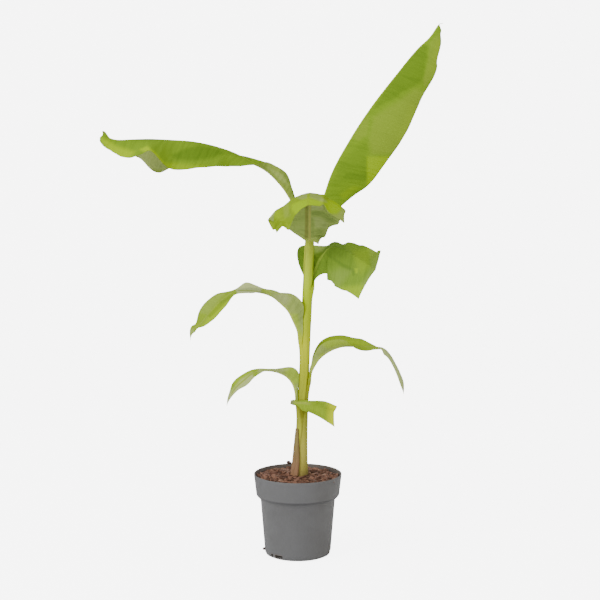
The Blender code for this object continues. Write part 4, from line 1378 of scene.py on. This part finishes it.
@dataclass
class BarkCompost:
    """The compost in the pot: a dark crumbly bed with strips of bark lying over it."""

    centre: float = 109.0
    edge: float = 107.0
    slope: float = -0.026
    reach: float = 57.6
    strips: int = 520
    side: tuple[tuple[float, float], ...] = (
        (54.0, 86.0), (49.0, 78.5), (43.4, 6.8), (38.0, 2.7), (0.0, 2.7),
    )
    heap: tuple[float, float] = (2.2, 260.0)
    strewn: float = 55.0
    bare: float = 11.0
    strip_long: tuple[float, float] = (6.0, 17.0)
    strip_wide: tuple[float, float] = (2.8, 5.6)
    strip_thick: tuple[float, float] = (1.0, 2.2)
    crumbs: tuple[tuple[tuple[float, float, float], float], ...] = (
        ((-13.0, 58.6, 114.2), 2.7), ((-10.4, 58.8, 113.2), 1.7),
        ((-46.5, -1.0, 6.8), 2.0), ((-45.4, -1.5, 8.6), 1.0),
    )
    seed: int = 31
    rings: int = 30
    steps: int = 96
    bed_finish: BedFinish = BedFinish()
    bark_finish: BarkFinish = BarkFinish()

    def height(self, x: float, y: float) -> float:
        """Return the bed's height at a place.

        Args:
            x: The place from left to right.
            y: The place from front to back.

        Returns:
            The height in millimetres.
        """
        share = min(math.hypot(x, y) / self.reach, 1.0)
        rise, spread = self.heap
        foot = rise * math.exp(-(((x - STEM.foot_x) ** 2 + y**2) / spread))
        level = self.centre + (self.edge - self.centre) * share**2
        return level + self.slope * y * (0.4 + 0.6 * share) + foot

    def bed(self) -> bpy.types.Object:
        """Turn the bed's profile round the pot and roughen its top.

        Returns:
            The bed's piece.
        """
        mesh = bmesh.new()
        profile = [(self.reach * i / self.rings, 0.0) for i in range(self.rings + 1)]
        profile += [(radius, -height) for radius, height in self.side]
        turn_profile(mesh, profile, self.steps, 0.01)
        for vertex in mesh.verts:
            x, y, z = vertex.co
            rough = 0.9 * noise.noise(Vector((x, y, 0)) / 5) + 0.5 * noise.noise(Vector((x, y, 9)) / 2)
            top = self.height(x, y) + rough
            vertex.co = Vector((x, y, top if z > -0.5 else -z)) * MM
        bmesh.ops.recalc_face_normals(mesh, faces=mesh.faces)
        return surface_piece(mesh, "compost_bed", self.bed_finish.material)

    def strip(
        self, mesh: bmesh.types.BMesh, rng: random.Random, layers: tuple,
        place: Vector, yaw: float, long: float,
    ) -> None:
        """Add one strip of bark.

        Args:
            mesh: The bmesh that holds all the strips.
            rng: The seeded draw of its size, tilt and tint.
            layers: The strip tint layer and the grain map.
            place: Where its middle lies, in millimetres.
            yaw: The way it points, in radians.
            long: Its length.
        """
        wide, thick = rng.uniform(*self.strip_wide), rng.uniform(*self.strip_thick)
        top = bmesh.ops.create_grid(mesh, x_segments=4, y_segments=2, size=0.5)["verts"]
        faces = list({face for vertex in top for face in vertex.link_faces})
        grown = bmesh.ops.extrude_face_region(mesh, geom=faces, use_keep_orig=True)["geom"]
        under = [item for item in grown if isinstance(item, bmesh.types.BMVert)]
        for side, height in ((top, 0.5), (under, -0.5)):
            for vertex in side:
                vertex.co.z = height
        verts = top + under
        turn = Matrix.Rotation(yaw, 4, "Z") @ Matrix.Rotation(rng.gauss(0, 0.2), 4, "Y")
        turn = turn @ Matrix.Rotation(rng.gauss(0, 0.35), 4, "X")
        bend, skew, seed = rng.uniform(-0.10, 0.10), rng.uniform(-0.3, 0.3), rng.uniform(0, 90)
        tint = (rng.random(), rng.random(), float(rng.random() < 0.18), 1.0)
        taper = rng.uniform(0.35, 0.8)
        for vertex in verts:
            x, y, z = vertex.co
            narrow = 1 - (1 - taper) * (2 * abs(x)) ** 2
            shake = noise.noise_vector(Vector((3 * x, 3 * y, 3 * z + seed))) * 0.55
            local = Vector((long * x, wide * narrow * y + skew * long * x * x, thick * narrow * z)) + shake
            local.z -= bend * long * (4 * x * x - 1)
            vertex.co = (place + turn @ local) * MM
            vertex[layers[0]] = tint
            for loop in vertex.link_loops:
                loop[layers[1]].uv = (long * (x + 0.5) / 10 + seed, (wide * y + thick * z) / 10)

    def bark(self) -> bpy.types.Object:
        """Strew the strips over the bed, lying along the wall where they are near it.

        Returns:
            The piece that holds all the bark.
        """
        mesh = bmesh.new()
        layers = (mesh.verts.layers.float_color.new("strip"), mesh.loops.layers.uv.new("grain"))
        rng = random.Random(self.seed)
        # Vector noise is drawn anew at each start of Blender unless it is seeded.
        noise.seed_set(self.seed)
        for _ in range(self.strips):
            reach = self.strewn * math.sqrt(rng.random())
            bearing = rng.uniform(0, math.tau)
            x, y = reach * math.cos(bearing), reach * math.sin(bearing)
            long = rng.uniform(*self.strip_long)
            yaw = rng.uniform(0, math.tau)
            if reach > self.strewn - long / 2:
                yaw = bearing + math.pi / 2 + rng.uniform(-0.3, 0.3)
            if math.hypot(x - STEM.foot_x, y) < self.bare:
                continue
            place = Vector((x, y, self.height(x, y) + rng.uniform(-0.6, 1.5)))
            self.strip(mesh, rng, layers, place, yaw, long)
        for place, size in self.crumbs:
            self.crumb(mesh, layers, Vector(place), size)
        bmesh.ops.recalc_face_normals(mesh, faces=mesh.faces)
        return surface_piece(mesh, "bark_strips", self.bark_finish.material, 35.0)

    def crumb(self, mesh: bmesh.types.BMesh, layers: tuple, place: Vector, size: float) -> None:
        """Add one dark crumb that sticks to the pot.

        Args:
            mesh: The bmesh that holds the bark.
            layers: The strip tint layer and the grain map.
            place: Its middle, in millimetres.
            size: Its radius.
        """
        for vertex in bmesh.ops.create_icosphere(mesh, subdivisions=3, radius=size)["verts"]:
            shake = noise.noise_vector(vertex.co / size + place) * 0.22 * size
            vertex.co = (place + vertex.co + shake) * MM
            vertex[layers[0]] = (0.0, 0.0, 1.0, 1.0)

    def build(self) -> list[bpy.types.Object]:
        """Lay the bed and strew the bark.

        Returns:
            The bed and the bark, which replace one node.
        """
        pieces = [self.bed(), self.bark()]
        for piece in pieces:
            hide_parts("soil")
        return pieces


@dataclass(frozen=True)
class PotFinish:
    """The moulded grey plastic: fine grain, faint scuffs, dust, a soiled inside, a painted shadow under the
    collar and painted shade on its right side.
    """

    grey: Colour = (0.122, 0.122, 0.124)
    dull: Colour = (0.104, 0.102, 0.101)
    scuff: Colour = (0.20, 0.20, 0.198)
    dust: Colour = (0.17, 0.13, 0.10)
    # Colour of the painted shadow in a thin band under the collar.
    collar_shadow: Colour = (0.060, 0.060, 0.063)
    # Tint of the painted shade that darkens and warms the right side.
    right_shade: Colour = (0.955, 0.93, 0.885)
    soil: Colour = (0.150, 0.125, 0.106)
    dusty_foot: tuple[float, float] = (0.001, 0.016)
    # Heights in metres where the painted shadow under the collar fades in and out.
    collar_shadow_start: tuple[float, float] = (0.0790, 0.0825)
    collar_shadow_end: tuple[float, float] = (0.0840, 0.0852)
    # Where in x, in metres, the painted shade on the right side fades in.
    right_shade_span: tuple[float, float] = (0.004, 0.046)

    @functools.cached_property
    def material(self) -> bpy.types.Material:
        """Build the plastic's finish.

        Returns:
            The material, which reads the pot's inside mark.
        """
        material, desk, shader = new_material("pot plastic", 0.35)
        place = desk.place()
        side, _, height = desk.axes(place)
        inside = desk.marks("inside")[0]
        specks = desk.group(speck_group(), {"Place": place, "Scale": 260.0, "Cover": 0.22})
        scuffs = desk.clouds(desk.stretched(place, (1.0, 1.0, 9.0)), 40.0, 6.0, 0.75)
        grain = desk.clouds(place, 1400.0, 2.0, 0.6)
        colour = desk.mix(desk.times(specks["Haze"], 0.35), self.grey, self.dull)
        colour = desk.mix(desk.ease(scuffs, 0.66, 0.78, 0.0, 0.35), colour, self.scuff)
        foot = desk.ease(height, *self.dusty_foot, 0.3, 0.0)
        dusty = desk.times(desk.math("ADD", foot, 0.12), specks["Speck"])
        colour = desk.mix(dusty, colour, self.dust)
        # Painted shadow: a thin dark band just under the collar.
        below = desk.ease(height, *self.collar_shadow_end, 1.0, 0.0)
        collar_shadow = desk.times(desk.ease(height, *self.collar_shadow_start), below)
        colour = desk.mix(desk.times(collar_shadow, 0.7), colour, self.collar_shadow)
        # Painted shade: darker and warmer towards the right side.
        colour = desk.mix(desk.ease(side, *self.right_shade_span), colour, desk.tinted(colour, self.right_shade))
        soiled = desk.times(inside, desk.ease(specks["Haze"], 0.0, 1.0, 0.75, 1.0))
        desk.feed(shader.inputs["Base Color"], desk.mix(soiled, colour, self.soil))
        desk.feed(shader.inputs["Roughness"], desk.ease(specks["Haze"], 0.0, 1.0, 0.5, 0.62))
        desk.bump(shader, desk.math("ADD", grain, desk.times(scuffs, 0.6)), 0.00005)
        return material


@dataclass
class NurseryPot:
    """The thin grey pot: a wide collar over a tapering body, with drain slots in its foot."""

    height: float = 113.0
    wall: float = 1.6
    rim: float = 60.0
    collar_foot: tuple[float, float] = (57.0, 85.0)
    shoulder: tuple[float, float] = (51.0, 78.0)
    body_foot: tuple[float, float] = (45.3, 6.4)
    base: float = 40.0
    floor: float = 2.4
    steps: int = 160
    drain_bearings: tuple[float, ...] = (231.0, 351.0, 111.0)
    drain_slots: tuple[tuple[float, float], ...] = ((-9.0, 3.8), (3.0, 12.0))
    drain_span: tuple[float, float] = (3.0, 7.2)
    lip_steps: int = 8
    finish: PotFinish = PotFinish()

    def lip(self) -> list[tuple[float, float]]:
        """Round the top of the rim.

        Returns:
            Its points from the outside in, as radius and height.
        """
        curl = self.wall / 2
        centre, level = self.rim - self.wall / 2, self.height - curl
        turns = [math.pi * i / self.lip_steps for i in range(self.lip_steps + 1)]
        return [(centre + curl * math.cos(turn), level + curl * math.sin(turn)) for turn in turns]

    def outline(self) -> tuple[list[tuple[float, float]], list[tuple[float, float]]]:
        """Return the outer and the inner profile, each as radius and height.

        Returns:
            The two profiles, the outer one from the middle of the foot up.
        """
        collar_r, collar_z = self.collar_foot
        shoulder_r, shoulder_z = self.shoulder
        foot_r, foot_z = self.body_foot
        outer = [
            (0.0, 0.0), (self.base - 1.5, 0.0), (self.base, 0.15), (foot_r - 1.6, 1.8), (foot_r - 0.4, 4.4),
            (foot_r, foot_z), (foot_r + 0.2, foot_z + 2.5), (shoulder_r, shoulder_z - 0.4),
            (shoulder_r + 0.25, shoulder_z), (collar_r - 1.3, collar_z - 2.2),
            (collar_r - 0.4, collar_z - 1.0), (collar_r, collar_z + 0.4), (self.rim - 0.25, self.height - 4.0),
        ]
        inner = [
            (self.rim - self.wall - 0.25, self.height - 4.0), (collar_r - self.wall, collar_z + 0.6),
            (shoulder_r - self.wall, shoulder_z + 0.6), (foot_r - self.wall, foot_z),
            (self.base - self.wall, self.floor), (0.0, self.floor),
        ]
        return outer, inner

    def drain_cutter(self) -> bpy.types.Object:
        """Build the blocks that cut the drain slots.

        Returns:
            An object that holds them all.
        """
        mesh = bmesh.new()
        for bearing in self.drain_bearings:
            for offset, width in self.drain_slots:
                low, high = self.drain_span
                middle = Vector((self.base + 4, offset, (low + high) / 2)) * MM
                size = Matrix.Diagonal((6 * MM, width * MM, (high - low) * MM, 1.0))
                turn = Matrix.Rotation(math.radians(bearing), 4, "Z")
                bmesh.ops.create_cube(mesh, size=1.0, matrix=turn @ Matrix.Translation(middle) @ size)
        return new_object("drain slots", new_mesh("drain slots", mesh))

    def build(self) -> bpy.types.Object:
        """Turn the wall's profile, mark its inside and cut the slots.

        Returns:
            The pot's piece.
        """
        mesh = bmesh.new()
        outer, inner = self.outline()
        profile = [(radius * MM, height * MM) for radius, height in outer + self.lip() + inner]
        turn_profile(mesh, profile, self.steps, 0.01 * MM)
        bmesh.ops.recalc_face_normals(mesh, faces=mesh.faces)
        inside = mesh.verts.layers.float_color.new("inside")
        for vertex in mesh.verts:
            reach, height = vertex.co.xy.length / MM, vertex.co.z / MM
            walled = height > self.floor - 0.1 and reach < self.inner_radius(height) + 0.3
            vertex[inside] = (float(walled and height < self.height - 0.2), 0.0, 0.0, 1.0)
        pot = surface_piece(mesh, "nursery_pot", self.finish.material, 30.0)
        cutter = self.drain_cutter()
        cut = pot.modifiers.new("drain slots", "BOOLEAN")
        cut.operation = "DIFFERENCE"
        cut.object = cutter
        graph = bpy.context.evaluated_depsgraph_get()
        pot.data = bpy.data.meshes.new_from_object(pot.evaluated_get(graph))
        pot.modifiers.clear()
        bpy.data.objects.remove(cutter, do_unlink=True)
        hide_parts("pot")
        return pot

    def inner_radius(self, height: float) -> float:
        """Return the radius of the inner wall at a height.

        Args:
            height: The height.

        Returns:
            The radius in millimetres.
        """
        stops = [(self.body_foot[1], self.body_foot[0]), (self.shoulder[1], self.shoulder[0])]
        stops += [(self.collar_foot[1], self.collar_foot[0]), (self.height, self.rim)]
        for (low, small), (high, large) in zip(stops, stops[1:]):
            if height <= high:
                return small + (large - small) * max(height - low, 0.0) / (high - low) - self.wall
        return self.rim - self.wall


@dataclass
class Studio:
    """The pale sweep, the soft lamps and the camera."""

    near: float = -5.0
    far: float = 1.6
    sweep: float = 0.9
    half_width: float = 4.0
    tall: float = 3.4
    drop: float = 0.0004
    bend_steps: int = 16
    glow: float = 6.0
    sky: float = 0.90
    camera_place: tuple[float, float, float] = (0.003, -2.3, 0.660)
    camera_pitch: float = 7.63
    lens: float = 103.14
    sensor: float = 36.0
    lamps: tuple[tuple[str, tuple[float, float, float], float, float], ...] = (
        ("key lamp", (-2.0, -1.8, 2.1), 1.8, 68.0),
        ("fill lamp", (1.6, -2.6, 1.0), 2.0, 12.0),
    )

    def material(self) -> bpy.types.Material:
        """Build the pale seamless paper, which glows a little for the camera as an overlit sweep does.

        Returns:
            The material.
        """
        material, desk, shader = new_material("pale sweep", 0.0)
        place = desk.place()
        paper = desk.clouds(place, 2.0, 2.0)
        desk.feed(shader.inputs["Base Color"], desk.mix(paper, (0.86, 0.86, 0.86), (0.84, 0.84, 0.84)))
        shader.inputs["Roughness"].default_value = 0.9
        shader.inputs["Emission Color"].default_value = (1.0, 1.0, 1.0, 1.0)
        seen = desk.put("LightPath").outputs["Is Camera Ray"]
        desk.feed(shader.inputs["Emission Strength"], desk.times(seen, self.glow))
        return material

    def backdrop(self) -> bpy.types.Object:
        """Sweep the floor up into the background.

        Returns:
            The sweep, which rides on no body.
        """
        mesh = bmesh.new()
        profile = [(self.near, -self.drop), (self.far, -self.drop)]
        for index in range(1, self.bend_steps + 1):
            angle = math.pi / 2 * index / self.bend_steps
            rise = self.sweep * (1 - math.cos(angle)) - self.drop
            profile.append((self.far + self.sweep * math.sin(angle), rise))
        profile.append((self.far + self.sweep, self.tall))
        verts = [mesh.verts.new((-self.half_width, y, z)) for y, z in profile]
        edges = [mesh.edges.new(pair) for pair in zip(verts, verts[1:])]
        grown = bmesh.ops.extrude_edge_only(mesh, edges=edges)["geom"]
        moved = [item for item in grown if isinstance(item, bmesh.types.BMVert)]
        bmesh.ops.translate(mesh, verts=moved, vec=(2 * self.half_width, 0, 0))
        data = new_mesh("pale_sweep", mesh)
        data.materials.append(self.material())
        data.shade_smooth()
        sweep = new_object("pale_sweep", data)
        return sweep

    def light(self) -> None:
        """Hang the lamps, aim them at the plant and set the even sky."""
        aim = Vector((0.0, 0.0, 0.35))
        for name, place, size, power in self.lamps:
            data = bpy.data.lights.new(name, "AREA")
            data.size = size
            data.energy = power
            lamp = new_object(name, data)
            lamp.location = place
            lamp.rotation_euler = (aim - Vector(place)).to_track_quat("-Z", "Y").to_euler()
        world = bpy.data.worlds.new("even sky")
        world.use_nodes = True
        sky = world.node_tree.nodes["Background"]
        sky.inputs["Color"].default_value = (1.0, 1.0, 1.0, 1.0)
        sky.inputs["Strength"].default_value = self.sky
        bpy.context.scene.world = world

    def camera(self) -> None:
        """Stand the camera where the photograph was taken from."""
        data = bpy.data.cameras.new("portrait camera")
        data.lens = self.lens
        data.sensor_width = self.sensor
        data.clip_end = 50.0
        camera = new_object("portrait camera", data)
        camera.location = self.camera_place
        camera.rotation_euler = (math.radians(90 - self.camera_pitch), 0.0, 0.0)
        bpy.context.scene.camera = camera

    def build(self) -> None:
        """Set up the sweep, the light and the camera."""
        self.backdrop()
        self.light()
        self.camera()


@dataclass
class PottedBanana:
    """The whole plant in its pot."""

    pot: NurseryPot = field(default_factory=NurseryPot)
    compost: BarkCompost = field(default_factory=BarkCompost)
    old_sheath: OldSheath = field(default_factory=OldSheath)
    leaves: list[BananaLeaf] = field(default_factory=banana_leaves)

    def build(self) -> None:
        """Build every piece, from the pot up."""
        pieces = [self.pot.build(), *self.compost.build(), STEM.build(), self.old_sheath.build()]
        pieces += [leaf.build() for leaf in self.leaves]
        for piece in pieces:
            LOG.info("%s: %d faces", piece.name, len(piece.data.polygons))


def write_sizes() -> None:
    """Bring the scene's placements up to date."""
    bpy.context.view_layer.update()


def main() -> None:
    """Set up the studio and build the plant."""
    logging.basicConfig(level=logging.INFO, format="%(name)s: %(message)s")
    Studio().build()
    PottedBanana().build()
    write_sizes()


if __name__ == "__main__":
    main()
